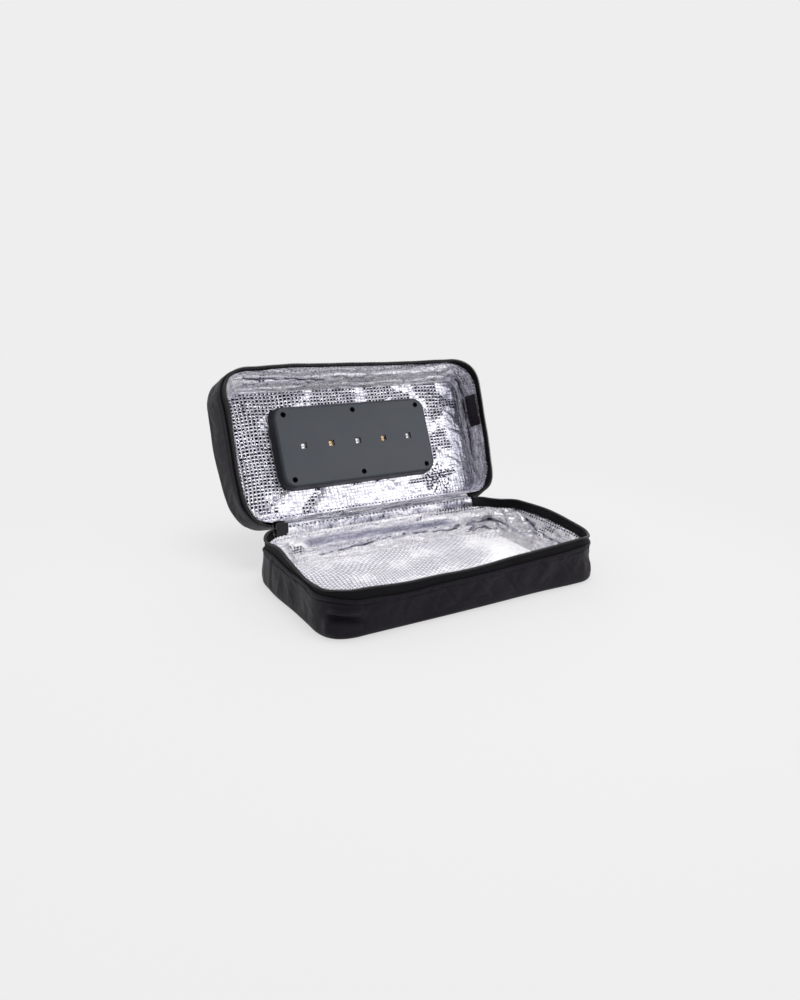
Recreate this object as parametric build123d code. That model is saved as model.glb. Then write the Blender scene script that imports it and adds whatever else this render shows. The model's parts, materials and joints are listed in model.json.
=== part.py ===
"""Soft zip-up sanitizing pouch for a phone, with an ultraviolet lamp module in its lid.

Millimetres. X runs along the pouch, Y towards the hinge and Z up. The origin is the centre of the base's
underside. Lid pieces are drawn in the closed position, then turned open about the hinge.
"""

import math
import os

from build123d import *

# ---------------------------------------------------------------- pouch body
pouch_length = 220.0
pouch_width = 115.0
plan_radius = 22.0
base_rim_z = 31.5
lid_depth = 35.0
bottom_edge_radius = 3.0
top_edge_radius = 4.0

# Layers of the wall, from outside to inside
fabric = 0.8
hem_ply = 0.6
tape = 0.7
foam = 1.6
foil = 0.5

# ---------------------------------------------------------------- zip and hem
tape_reveal = 7.0
tape_tuck = 7.5
hem_height = 5.5
coil_width = 1.8
coil_height = 1.3
rim_gap = 1.6

# ---------------------------------------------------------------- hinge
open_angle = 115.45
rim_setback = 5.94
hinge_left_margin = 26.0
hinge_right_margin = 30.0
hinge_fabric = 0.8
hinge_foil = 0.5
bead_radius = 0.8
hinge_clearance = 0.3
end_clearance = 0.3

# ---------------------------------------------------------------- base interior
floor_board = 3.0
floor_mat = 1.0
lining_top_drop = 5.5
floor_end_margin = 17.0
floor_side_margin = 7.5
floor_radius = 13.0
mat_margin = 2.0
fit_clearance = 0.2

# ---------------------------------------------------------------- lid interior
panel_depth = 22.0
panel_end_margin = 18.0
panel_side_margin = 9.0
panel_radius = 13.0

# ---------------------------------------------------------------- lamp module
lamp_x = -4.9
lamp_y = 0.8
face_depth = 13.2
face_length = 132.0
face_width = 60.0
face_radius = 9.0
face_edge_radius = 2.5
skirt_flare = 2.0
module_wall = 1.4
housing_end_step = 3.0
housing_side_step = 2.0
housing_radius = 5.0
flange = 1.2
foil_window_inset = 3.6
foil_window_radius = 5.0

screw_end_margin = 7.9
screw_side_margin = 5.4
pocket_radius = 2.1
tower_radius = 3.0
screw_seat = 2.5
screw_head_radius = 1.9
screw_head = 1.6
screw_radius = 1.25
screw_length = 9.0
thread_clearance = 0.05
hole_clearance = 0.15

# ---------------------------------------------------------------- LEDs and boards
led_pitch = 23.0
led_count = 5
window_size = 4.5
led_package = 3.5
led_height = 1.0
led_recess = 2.6
led_recess_depth = 0.55
led_chip = 1.1
led_chip_height = 0.25
led_glass = 3.2
led_glass_height = 0.3
led_setback = 0.3
board = 1.6
led_board_margin = 7.0
led_board_width = 26.0
driver_length = 70.0
driver_width = 36.0
driver_gap = 4.2
post_radius = 2.5
small_screw_radius = 0.9
small_screw_head_radius = 1.7
small_screw_head = 1.1
small_screw_grip = 3.4
pilot_spare = 0.3
led_post_x = 34.5
led_post_y = 9.5
connector_length = 10.0
connector_width = 2.5
connector_y = 9.5
coil_chip = 6.0
coil_chip_height = 2.6
driver_chip = 4.0
driver_chip_height = 1.0
chip_pitch = 13.0
driver_post_x = 31.5
driver_post_y = 14.5

# ---------------------------------------------------------------- controls
bezel_length = 58.0
bezel_width = 24.0
bezel_height = 2.4
bezel_radius = 7.0
control_pitch = 14.0
bezel_screw_x = 25.0
fabric_window_length = 43.0
fabric_window_width = 16.0
button_radius = 5.0
button_proud = 0.8
button_travel = 0.5
button_clearance = 0.2
button_flange = 0.9
button_flange_radius = 6.3
button_stem_radius = 1.5
switch_size = 6.0
switch_height = 3.5
switch_stem = 0.9
usb_length = 9.0
usb_width = 3.2
usb_wall = 0.3
usb_tongue = 0.7
pipe_radius = 1.3

# ---------------------------------------------------------------- lid switch
pocket_y = -13.0
pocket_length = 25.0
pocket_height = 11.0
pocket_thickness = 3.0
pocket_wall = 0.5
pocket_rim_gap = 1.0
sensor_radius = 1.0
sensor_length = 14.0
sensor_shift = 2.6
lead_shift = 2.2
lead_radius = 0.6
lead_bend = 4.0
magnet_radius = 2.5
magnet_height = 2.0

# ---------------------------------------------------------------- zip slider
slider_length = 9.0
slider_height = 9.0
slider_back_height = 7.2
wing = 1.3
wing_clearance = 0.45
lip = 0.5
lip_height = 0.6
post_height = 1.0
post_length = 3.0
bar_radius = 0.7
bar_clearance = 0.1
arch_foot = 1.2
arch_foot_height = 2.0
knuckle_radius = 1.2
pull_width = 5.4
pull_length = 20.0
pull_thickness = 1.4
pull_slot_width = 2.2
pull_slot_length = 9.0
pull_slot_drop = 11.0

# ---------------------------------------------------------------- worked out
half_length = pouch_length / 2
half_width = pouch_width / 2
lid_rim_z = base_rim_z + rim_gap
lid_top_z = lid_rim_z + lid_depth
closing_z = base_rim_z + rim_gap / 2
base_fold_z = base_rim_z - tape_reveal
lid_fold_z = lid_rim_z + tape_reveal

hem_inset = fabric
tape_inset = hem_inset + hem_ply
lining_inset = tape_inset + tape
coil_inset = tape_inset + tape / 2 - coil_width / 2

# The lid's rear rim edge turns from above the base's rear edge to a setback behind it, at the same height.
chord = math.hypot(rim_setback, rim_gap)
axis_offset = chord / 2 / math.tan(math.radians(open_angle / 2))
axis_y = half_width + rim_setback / 2 - axis_offset * rim_gap / chord
axis_z = closing_z - axis_offset * rim_setback / chord
hinge_axis = Axis((0, axis_y, axis_z), (1, 0, 0))
hinge_left_x = hinge_left_margin - half_length
hinge_right_x = half_length - hinge_right_margin
hinge_length = hinge_right_x - hinge_left_x
strip_y = half_width - fabric - hinge_fabric / 2

corner_x = -half_length + plan_radius
corner_y = half_width - plan_radius
tape_middle_radius = plan_radius - tape_inset - tape / 2
slider_middle_x = hinge_left_x - slider_length / 2 - 3 * end_clearance
slider_angle = math.degrees(math.asin((corner_x - slider_middle_x) / tape_middle_radius))
zip_left_x = slider_middle_x - slider_length / 2 - 2 * end_clearance
outer_wing_r = tape_middle_radius + coil_width / 2 + wing_clearance
inner_coil_r = tape_middle_radius - coil_width / 2
inner_wing_r = math.sqrt(inner_coil_r**2 - (slider_length / 2) ** 2) - hinge_clearance
bar_r = outer_wing_r + wing + end_clearance + knuckle_radius

floor_top_z = fabric + floor_board
lining_top_z = base_rim_z - lining_top_drop
lid_lining_rim_z = lid_rim_z + lining_top_drop
panel_z = lid_rim_z + panel_depth
housing_z = panel_z + foil
housing_back_z = lid_top_z - fabric
back_wall_z = housing_back_z - module_wall
face_z = lid_rim_z + face_depth
inner_face_z = face_z + module_wall
seat_z = panel_z - screw_seat
led_front_z = inner_face_z + led_setback
led_package_z = led_front_z + led_glass_height
led_board_z = led_package_z + led_height
led_board_back_z = led_board_z + board
driver_outer_z = back_wall_z - driver_gap
driver_z = driver_outer_z - board
bezel_face_z = lid_top_z + bezel_height
button_flange_z = lid_top_z + end_clearance
button_face_z = bezel_face_z + button_proud
button_x = lamp_x - control_pitch
usb_x = lamp_x + control_pitch

housing_length = face_length - 2 * housing_end_step
housing_width = face_width - 2 * housing_side_step
screw_span_x = face_length - 2 * screw_end_margin
screw_span_y = face_width - 2 * screw_side_margin
led_board_length = face_length - 2 * led_board_margin

# The lid's right lining wall slopes from its rim in to the panel.
rim_wall_x = half_length - lining_inset - foil
wall_run = panel_end_margin - lining_inset
wall_rise = panel_z + foil - lid_lining_rim_z
wall_slope = math.hypot(wall_run, wall_rise)


# ---------------------------------------------------------------- shapes used again and again
def rounded(length, width, radius, inset=0.0):
    """A rounded rectangle drawn in by an inset."""
    return RectangleRounded(length - 2 * inset, width - 2 * inset, max(radius - inset, fabric))


def outline(inset):
    return rounded(pouch_length, pouch_width, plan_radius, inset)


def slab(sketch, low, high):
    """A plan sketch raised from one height to another."""
    return extrude(Pos(0, 0, low) * sketch, amount=high - low)


def ring(outer_inset, inner_inset, low, high):
    """A band that follows the pouch's wall between two insets."""
    return slab(outline(outer_inset), low, high) - slab(outline(inner_inset), low, high)


def tapered(low_sketch, low, high_sketch, high):
    """A block whose plan changes evenly from one height to another."""
    return loft([Pos(0, 0, low) * low_sketch, Pos(0, 0, high) * high_sketch], ruled=True)


def block(x, y, low, high, length, width):
    return Pos(x, y, (low + high) / 2) * Box(length, width, high - low)


def peg(x, y, low, high, radius):
    """An upright cylinder."""
    return Pos(x, y, (low + high) / 2) * Cylinder(radius, high - low)


def along_x(left, right, y, z, radius):
    """A cylinder that lies along X."""
    place = Location(((left + right) / 2, y, z), (0, 90, 0))
    return place * Cylinder(radius, right - left)


def rear_block(left, right, low, high):
    """A block over the rear wall between two X positions."""
    return block((left + right) / 2, half_width, low, high, right - left, plan_radius)


def rounded_level(part, z, radius):
    """Rounds the edges that lie flat at one height."""
    return fillet(part.edges().filter_by_position(Axis.Z, z - 0.01, z + 0.01), radius)


def corners(span_x, span_y):
    """The four corners of a rectangle centred on the lamp."""
    return [(lamp_x + i * span_x, lamp_y + j * span_y) for i in (-1, 1) for j in (-1, 1)]


def at_lamp(sketch):
    return Pos(lamp_x, lamp_y, 0) * sketch


def bent_strip(start, bend, tip, near, far):
    """A Y-Z profile that follows start, bend, tip between two distances to the line's left."""
    first = (Vector(*bend) - Vector(*start)).normalized()
    second = (Vector(*tip) - Vector(*bend)).normalized()
    left_first = Vector(-first.Y, first.X)
    left_second = Vector(-second.Y, second.X)
    mitre = (left_first + left_second) / (1 + left_first.dot(left_second))
    sides = [
        [
            Vector(*start) + left_first * distance,
            Vector(*bend) + mitre * distance,
            Vector(*tip) + left_second * distance,
        ]
        for distance in (near, far)
    ]
    points = sides[0] + sides[1][::-1]
    return make_face(Polyline(*[(p.X, p.Y) for p in points], close=True))


def along_hinge(profile):
    """Raises a Y-Z profile along the hinge."""
    plane = Plane(origin=(hinge_left_x, 0, 0), x_dir=(0, 1, 0), z_dir=(1, 0, 0))
    return extrude(plane * profile, amount=hinge_length)


def short_of_axis(bend, gap):
    """The point on the line from a bend to the hinge axis that stops a gap before it."""
    axis_point = Vector(axis_y, axis_z)
    point = axis_point + (Vector(*bend) - axis_point).normalized() * gap
    return (point.X, point.Y)


# ---------------------------------------------------------------- fabric, zip and hem
def base_block(inset):
    body = slab(outline(inset), inset, base_fold_z)
    return rounded_level(body, inset, max(bottom_edge_radius - inset, fabric))


def lid_block(inset, low):
    body = slab(outline(inset), low, lid_top_z - inset)
    return rounded_level(body, lid_top_z - inset, max(top_edge_radius - inset, fabric))


def base_shell():
    return base_block(0) - base_block(fabric)


def bezel_screw_places():
    return [(lamp_x + side * bezel_screw_x, lamp_y) for side in (-1, 1)]


def lid_shell():
    shell = lid_block(0, lid_fold_z) - lid_block(fabric, lid_fold_z)
    window = rounded(fabric_window_length, fabric_window_width, fabric_window_width / 3)
    shell -= slab(at_lamp(window), housing_back_z, lid_top_z)
    for x, y in bezel_screw_places():
        shell -= peg(x, y, housing_back_z, lid_top_z, small_screw_radius + hole_clearance)
    return shell


def hem(low, high):
    """The fabric's turned-in ply, left out where the hinge strip is sewn."""
    left = hinge_left_x - end_clearance
    right = hinge_right_x + end_clearance
    return ring(hem_inset, tape_inset, low, high) - rear_block(left, right, low, high)


def zip_band(outer_inset, inner_inset, low, high):
    """A band of zip round three sides, open across the hinge and the parked slider."""
    gap = rear_block(zip_left_x, hinge_right_x + end_clearance, low, high)
    return ring(outer_inset, inner_inset, low, high) - gap


def base_hem():
    return hem(base_fold_z - hem_height, base_fold_z)


def lid_hem():
    return hem(lid_fold_z, lid_fold_z + hem_height)


def base_zip_tape():
    return zip_band(tape_inset, lining_inset, base_fold_z - tape_tuck, base_rim_z - coil_height)


def lid_zip_tape():
    return zip_band(tape_inset, lining_inset, lid_rim_z + coil_height, lid_fold_z + tape_tuck)


def base_zip_coil():
    return zip_band(coil_inset, coil_inset + coil_width, base_rim_z - coil_height, base_rim_z)


def lid_zip_coil():
    return zip_band(coil_inset, coil_inset + coil_width, lid_rim_z, lid_rim_z + coil_height)


def zip_end_tab():
    """Folded tape that finishes the zip under the parked slider."""
    low = base_fold_z - tape_tuck
    high = closing_z - slider_height / 2 - 2 * end_clearance
    band = ring(tape_inset, lining_inset, low, high)
    return band & rear_block(zip_left_x + end_clearance, hinge_left_x - end_clearance, low, high)


# ---------------------------------------------------------------- hinge
def base_hinge_line():
    start = (strip_y, base_fold_z - tape_tuck)
    bend = (strip_y, base_fold_z + hinge_fabric)
    return start, bend


def lid_hinge_line():
    start = (strip_y, lid_fold_z + tape_tuck)
    bend = (strip_y, lid_fold_z - hinge_fabric)
    return start, bend


def hinge_strip_base():
    """Sewn inside the rear wall, and out to a rolled edge on the hinge axis."""
    start, bend = base_hinge_line()
    half = hinge_fabric / 2
    strip = along_hinge(bent_strip(start, bend, (axis_y, axis_z), -half, half))
    return strip + along_x(hinge_left_x, hinge_right_x, axis_y, axis_z, bead_radius)


def hinge_strip_lid():
    """The same fabric on the lid's side of the fold, clear of the rolled edge."""
    start, bend = lid_hinge_line()
    half = hinge_fabric / 2
    tip = short_of_axis(bend, bead_radius + hinge_clearance)
    return along_hinge(bent_strip(start, bend, tip, -half, half))


def hinge_lining_base():
    start, bend = base_hinge_line()
    half = hinge_fabric / 2
    tip = short_of_axis(bend, bead_radius + 2 * hinge_clearance)
    start = (strip_y, lining_top_z - tape_reveal)
    return along_hinge(bent_strip(start, bend, tip, half, half + hinge_foil))


def hinge_lining_lid():
    start, bend = lid_hinge_line()
    half = hinge_fabric / 2
    tip = short_of_axis(bend, bead_radius + 2 * hinge_clearance)
    start = (strip_y, lid_lining_rim_z + tape_reveal)
    return along_hinge(bent_strip(start, bend, tip, -half - hinge_foil, -half))


# ---------------------------------------------------------------- padding, board and lining of the base
def base_foam():
    return ring(fabric, fabric + foam, bottom_edge_radius, base_fold_z - tape_tuck)


def base_floor_board():
    inset = max(fabric + foam, bottom_edge_radius) + fit_clearance
    return slab(outline(inset), fabric, floor_top_z)


def floor_plan(inset):
    length = pouch_length - 2 * floor_end_margin
    width = pouch_width - 2 * floor_side_margin
    return rounded(length, width, floor_radius, inset)


def base_lining():
    outer = tapered(floor_plan(0), floor_top_z, outline(lining_inset), lining_top_z)
    inner_rim = outline(lining_inset + foil)
    return outer - tapered(floor_plan(foil), floor_top_z + foil, inner_rim, lining_top_z)


def base_floor_mat():
    low = floor_top_z + foil
    return slab(floor_plan(foil + mat_margin), low, low + floor_mat)


def base_magnet():
    """Held flat against the zip tape, opposite the switch in the lid."""
    face_x = half_length - lining_inset
    z = base_fold_z - tape_tuck + magnet_radius + fit_clearance
    return along_x(face_x - magnet_height, face_x, pocket_y, z, magnet_radius)


# ---------------------------------------------------------------- padding and lining of the lid
def lid_foam():
    low = lid_fold_z + tape_tuck
    pad = lid_block(fabric, low) - lid_block(fabric + foam, low)
    window = rounded(housing_length, housing_width, housing_radius, -fit_clearance)
    return pad - slab(at_lamp(window), housing_back_z - foam, housing_back_z)


def panel_plan(inset):
    length = pouch_length - 2 * panel_end_margin
    width = pouch_width - 2 * panel_side_margin
    return rounded(length, width, panel_radius, inset)


def wall_point(along, lift):
    """X and Z of a point on the lid's right lining wall, a distance from its rim and lifted off it."""
    x = rim_wall_x - along * wall_run / wall_slope - lift * wall_rise / wall_slope
    z = lid_lining_rim_z + along * wall_rise / wall_slope - lift * wall_run / wall_slope
    return x, z


def lead_points():
    """From the switch's pocket through the lining, up behind it and across to the driver board."""
    along = pocket_rim_gap + pocket_height / 2 + lead_shift
    start_x, start_z = wall_point(along, 2 * lead_radius)
    rise_x = half_length - fabric - foam - lead_radius - 2 * fit_clearance
    run_z = driver_z + board / 2
    end_x = lamp_x + driver_length / 2 + fit_clearance
    return [
        (start_x, pocket_y, start_z),
        (rise_x, pocket_y, start_z),
        (rise_x, pocket_y, run_z),
        (end_x, pocket_y, run_z),
    ]


def lid_wall_lining():
    top = panel_z + foil
    outer = tapered(outline(lining_inset), lid_lining_rim_z, panel_plan(0), top)
    inner = tapered(outline(lining_inset + foil), lid_lining_rim_z, panel_plan(foil), top)
    start, turn = lead_points()[:2]
    hole = along_x(start[0], turn[0] - lead_bend / 2, pocket_y, start[2], lead_radius + hole_clearance)
    return outer - inner - hole


def lid_panel_lining():
    skirt_length = face_length + 2 * skirt_flare
    skirt_width = face_width + 2 * skirt_flare
    radius = foil_window_radius + foil_window_inset
    window = rounded(skirt_length, skirt_width, radius, foil_window_inset)
    plan = slab(panel_plan(foil), panel_z, panel_z + foil)
    return plan - slab(at_lamp(window), panel_z, panel_z + foil)


# ---------------------------------------------------------------- lid switch
def pocket_plane():
    """On the lining wall, with its own X along the pouch's width and Z into the lid."""
    x, z = wall_point(pocket_rim_gap + pocket_height / 2, 0)
    into_lid = (-wall_rise, 0, -wall_run)
    return Plane(origin=(x, pocket_y, z), x_dir=(0, 1, 0), z_dir=into_lid)


def sensor_pocket():
    outer = Pos(0, 0, pocket_thickness / 2) * Box(pocket_length, pocket_height, pocket_thickness)
    outer = fillet(outer.edges().group_by(Axis.Z)[-1], pocket_wall)
    hollow = pocket_thickness - pocket_wall
    inner_length = pocket_length - 2 * pocket_wall
    inner_height = pocket_height - 2 * pocket_wall
    return pocket_plane() * (outer - Pos(0, 0, hollow / 2) * Box(inner_length, inner_height, hollow))


def lid_sensor():
    rod = Location((0, sensor_shift, sensor_radius), (0, 90, 0)) * Cylinder(sensor_radius, sensor_length)
    return pocket_plane() * rod


def sensor_lead():
    path = FilletPolyline(*lead_points(), radius=lead_bend)
    start = Plane(origin=lead_points()[0], z_dir=(1, 0, 0))
    return sweep(start * Circle(lead_radius), path=path)


# ---------------------------------------------------------------- lamp module
def screw_places():
    """Three columns and two rows of faceplate screws."""
    columns = (-screw_span_x / 2, 0, screw_span_x / 2)
    return [(lamp_x + x, lamp_y + side * screw_span_y / 2) for x in columns for side in (-1, 1)]


def led_places():
    first = -led_pitch * (led_count - 1) / 2
    return [(lamp_x + first + i * led_pitch, lamp_y) for i in range(led_count)]


def face_plan(inset):
    return at_lamp(rounded(face_length, face_width, face_radius, inset))


def skirt_plan(inset):
    return at_lamp(rounded(face_length, face_width, face_radius, inset - skirt_flare))


def lamp_faceplate():
    outer = tapered(face_plan(0), face_z, skirt_plan(0), panel_z)
    outer = rounded_level(outer, face_z, face_edge_radius)
    plate = outer - tapered(face_plan(module_wall), inner_face_z, skirt_plan(module_wall), panel_z)
    for x, y in screw_places():
        plate += peg(x, y, inner_face_z, panel_z, tower_radius)
    for x, y in corners(led_post_x, led_post_y):
        plate += peg(x, y, inner_face_z, led_board_z, post_radius)
        pilot = led_board_back_z - small_screw_grip - pilot_spare
        plate -= peg(x, y, pilot, led_board_z, small_screw_radius + thread_clearance)
    for x, y in screw_places():
        plate -= peg(x, y, face_z, seat_z, pocket_radius)
        plate -= peg(x, y, seat_z, panel_z, screw_radius + hole_clearance)
    for x, y in led_places():
        plate -= block(x, y, face_z, inner_face_z, window_size, window_size)
    return plate


def housing_plan(inset):
    return at_lamp(rounded(housing_length, housing_width, housing_radius, inset))


def lamp_housing():
    box = slab(housing_plan(0), housing_z, housing_back_z)
    box += slab(skirt_plan(0), housing_z, housing_z + flange)
    box -= slab(housing_plan(module_wall), housing_z, back_wall_z)
    for x, y in screw_places():
        box += peg(x, y, panel_z, back_wall_z, tower_radius)
        end = seat_z + screw_length + pilot_spare
        box -= peg(x, y, panel_z, end, screw_radius + thread_clearance)
    for x, y in corners(driver_post_x, driver_post_y):
        box += peg(x, y, driver_outer_z, back_wall_z, post_radius)
        end = driver_z + small_screw_grip + pilot_spare
        box -= peg(x, y, driver_outer_z, end, small_screw_radius + thread_clearance)
    for x, y in bezel_screw_places():
        box += peg(x, y, driver_outer_z + fit_clearance, back_wall_z, post_radius)
        end = bezel_face_z - bezel_screw_grip() - pilot_spare
        box -= peg(x, y, end, housing_back_z, small_screw_radius + thread_clearance)
    stem_hole = button_stem_radius + 2 * button_clearance
    box -= peg(button_x, lamp_y, back_wall_z, housing_back_z, stem_hole)
    box -= peg(lamp_x, lamp_y, back_wall_z, housing_back_z, pipe_radius + hole_clearance)
    box -= slab(usb_plan(hole_clearance), back_wall_z, housing_back_z)
    wall_x = lamp_x + housing_length / 2
    lead_z = lead_points()[-1][2]
    hole_radius = lead_radius + hole_clearance
    return box - along_x(wall_x - 2 * module_wall, wall_x, pocket_y, lead_z, hole_radius)


def screw(x, y, seat, length, head, radius, head_radius, way):
    """A pan-head screw: its head stands off the seat against its way, its shank runs along it."""
    low, high = sorted((seat, seat - way * head))
    cap = peg(x, y, low, high, head_radius)
    outer_z = seat - way * head
    cap = rounded_level(cap, outer_z, head / 3)
    slot_low, slot_high = sorted((outer_z, outer_z + way * head / 2))
    cap -= block(x, y, slot_low, slot_high, head_radius, head / 3)
    cap -= block(x, y, slot_low, slot_high, head / 3, head_radius)
    low, high = sorted((seat, seat + way * length))
    return cap + peg(x, y, low, high, radius)


def small_screw(x, y, seat, length, way):
    head = small_screw_head
    return screw(x, y, seat, length, head, small_screw_radius, small_screw_head_radius, way)


def faceplate_screws():
    size = (screw_length, screw_head, screw_radius, screw_head_radius, 1)
    return [screw(x, y, seat_z, *size) for x, y in screw_places()]


def led_board():
    plate = block(lamp_x, lamp_y, led_board_z, led_board_back_z, led_board_length, led_board_width)
    for x, y in corners(led_post_x, led_post_y):
        plate -= peg(x, y, led_board_z, led_board_back_z, small_screw_radius + hole_clearance)
    return plate


def led_board_screws():
    return [
        small_screw(x, y, led_board_back_z, small_screw_grip, -1)
        for x, y in corners(led_post_x, led_post_y)
    ]


def package(x, y):
    """A square ceramic cup, open to the face."""
    cup = block(x, y, led_package_z, led_board_z, led_package, led_package)
    return cup - block(x, y, led_package_z, led_package_z + led_recess_depth, led_recess, led_recess)


def uvc_led_packages():
    return [package(x, y) for x, y in led_places()[::2]]


def uva_led_packages():
    return [package(x, y) for x, y in led_places()[1::2]]


def led_chips():
    low = led_package_z + led_recess_depth - led_chip_height
    high = led_package_z + led_recess_depth
    return [block(x, y, low, high, led_chip, led_chip) for x, y in led_places()]


def led_cover_glasses():
    return [block(x, y, led_front_z, led_package_z, led_glass, led_glass) for x, y in led_places()]


def driver_board():
    plate = block(lamp_x, lamp_y, driver_z, driver_outer_z, driver_length, driver_width)
    for x, y in corners(driver_post_x, driver_post_y):
        plate -= peg(x, y, driver_z, driver_outer_z, small_screw_radius + hole_clearance)
    return plate


def driver_board_screws():
    return [
        small_screw(x, y, driver_z, small_screw_grip, 1)
        for x, y in corners(driver_post_x, driver_post_y)
    ]


def driver_chips():
    """A power coil between two small chips, on the board's inner side."""
    low = driver_z - driver_chip_height
    chips = [
        block(lamp_x + side * chip_pitch, lamp_y, low, driver_z, driver_chip, driver_chip)
        for side in (-1, 1)
    ]
    chips.append(block(lamp_x, lamp_y, driver_z - coil_chip_height, driver_z, coil_chip, coil_chip))
    return chips


def board_connector():
    """Pin header between the two boards."""
    y = lamp_y + connector_y
    return block(lamp_x, y, led_board_back_z, driver_z, connector_length, connector_width)


# ---------------------------------------------------------------- controls on the lid's outer side
def bezel_screw_grip():
    return bezel_height + fabric + module_wall + small_screw_grip - small_screw_head


def control_bezel():
    plan = at_lamp(rounded(bezel_length, bezel_width, bezel_radius))
    plate = slab(plan, lid_top_z, bezel_face_z)
    plate = rounded_level(plate, bezel_face_z, bezel_height / 3)
    recess_top = button_flange_z + button_flange
    recess_radius = button_flange_radius + button_clearance
    plate -= peg(button_x, lamp_y, lid_top_z, recess_top, recess_radius)
    plate -= peg(button_x, lamp_y, lid_top_z, bezel_face_z, button_radius + button_clearance)
    plate -= peg(lamp_x, lamp_y, lid_top_z, bezel_face_z, pipe_radius + hole_clearance)
    plate -= slab(usb_plan(hole_clearance), lid_top_z, bezel_face_z)
    for x, y in bezel_screw_places():
        plate -= peg(x, y, lid_top_z, bezel_face_z, small_screw_radius + hole_clearance)
        sunk = bezel_face_z - small_screw_head
        plate -= peg(x, y, sunk, bezel_face_z, small_screw_head_radius + hole_clearance)
    return plate


def bezel_screws():
    seat = bezel_face_z - small_screw_head
    length = bezel_screw_grip() - small_screw_head
    return [small_screw(x, y, seat, length, -1) for x, y in bezel_screw_places()]


def power_button():
    cap = peg(button_x, lamp_y, button_flange_z, button_face_z, button_radius)
    cap = rounded_level(cap, button_face_z, button_proud * 0.6)
    dish = Pos(button_x, lamp_y, button_face_z + 4 * button_radius - button_proud / 2)
    cap -= dish * Sphere(4 * button_radius)
    cap += peg(button_x, lamp_y, button_flange_z, button_flange_z + button_flange, button_flange_radius)
    stem_end = driver_outer_z + switch_height + switch_stem + button_travel + hole_clearance
    return cap + peg(button_x, lamp_y, stem_end, button_flange_z, button_stem_radius)


def push_switch():
    top = driver_outer_z + switch_height
    body = block(button_x, lamp_y, driver_outer_z, top, switch_size, switch_size)
    return body + peg(button_x, lamp_y, top, top + switch_stem, button_stem_radius)


def usb_plan(grow):
    """The receptacle's rounded outline, grown all round."""
    return Pos(usb_x, lamp_y, 0) * SlotOverall(usb_length + 2 * grow, usb_width + 2 * grow)


def usb_socket():
    """A USB-C receptacle that stands on the driver board and opens on the lid's outer side."""
    top = bezel_face_z - hole_clearance
    shell = slab(usb_plan(0), driver_outer_z, top)
    shell -= slab(usb_plan(-usb_wall), driver_outer_z + 2 * usb_wall, top)
    tongue_length = usb_length - usb_width
    tongue_top = top - usb_width / 2
    return shell + block(usb_x, lamp_y, driver_outer_z + usb_wall, tongue_top, tongue_length, usb_tongue)


def indicator_led():
    low = driver_outer_z
    return block(lamp_x, lamp_y, low, low + led_glass_height * 2, led_recess, led_recess / 2)


def light_pipe():
    low = driver_outer_z + led_glass_height * 3
    return rounded_level(peg(lamp_x, lamp_y, low, bezel_face_z, pipe_radius), bezel_face_z, pipe_radius / 3)


# ---------------------------------------------------------------- zip slider
def on_slider(part):
    """Turns a piece drawn at the corner's rear tangent to where the slider is parked."""
    return part.rotate(Axis((corner_x, corner_y, 0), (0, 0, 1)), slider_angle)


def radial_block(left, right, inner_r, outer_r, low, high):
    middle_y = corner_y + (inner_r + outer_r) / 2
    return block(corner_x + (left + right) / 2, middle_y, low, high, right - left, outer_r - inner_r)


def wing_plate(inner_r, outer_r):
    """One wing of the slider, wide at the front where the two tapes come in."""
    front = -slider_length / 2
    back = slider_length / 2
    tall = slider_height / 2
    short = slider_back_height / 2
    top = [(front, tall), (0, tall), (back, short)]
    bottom = [(x, -z) for x, z in reversed(top)]
    face = fillet(make_face(Polyline(*top, *bottom, close=True)).vertices(), wing / 2)
    plane = Plane(origin=(corner_x, corner_y + inner_r, closing_z), x_dir=(1, 0, 0), z_dir=(0, 1, 0))
    return extrude(plane * face, amount=outer_r - inner_r)


def zip_slider():
    outer_face_r = outer_wing_r + wing
    body = wing_plate(outer_wing_r, outer_face_r) + wing_plate(inner_wing_r - wing, inner_wing_r)
    front = -slider_length / 2 + end_clearance
    body += radial_block(
        front, front + post_length, inner_wing_r, outer_wing_r,
        closing_z - post_height / 2, closing_z + post_height / 2,
    )
    for side in (-1, 1):
        edge = closing_z + side * slider_height / 2
        low, high = sorted((edge, edge - side * lip_height))
        body += radial_block(-slider_length / 2 + wing / 2, 0, outer_wing_r - lip, outer_wing_r, low, high)
        body += radial_block(-slider_length / 2 + wing / 2, 0, inner_wing_r, inner_wing_r + lip, low, high)
        foot = side * (pull_width / 2 + end_clearance + arch_foot / 2)
        body += radial_block(
            foot - arch_foot / 2, foot + arch_foot / 2, outer_face_r, bar_r + bar_radius + bar_clearance,
            closing_z - arch_foot_height / 2, closing_z + arch_foot_height / 2,
        )
    reach = pull_width / 2 + end_clearance
    body += along_x(corner_x - reach, corner_x + reach, corner_y + bar_r, closing_z, bar_radius)
    return on_slider(body)


def zip_pull():
    """A flat tab that hangs from the slider's bar."""
    half = pull_width / 2
    y = corner_y + bar_r
    knuckle = along_x(corner_x - half, corner_x + half, y, closing_z, knuckle_radius)
    plan = Rectangle(pull_width, pull_length) - Pos(0, -pull_length / 2 + pull_slot_drop) * SlotOverall(
        pull_slot_length, pull_slot_width, rotation=90
    )
    plane = Plane(
        origin=(corner_x, y + pull_thickness / 2, closing_z - pull_length / 2),
        x_dir=(1, 0, 0),
        z_dir=(0, -1, 0),
    )
    tab = extrude(plane * plan, amount=pull_thickness)
    tab = fillet(tab.edges().filter_by(Axis.Y).group_by(Axis.Z)[0], pull_width / 3)
    bore = along_x(corner_x - half, corner_x + half, y, closing_z, bar_radius + bar_clearance)
    return on_slider(knuckle + tab - bore)


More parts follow.
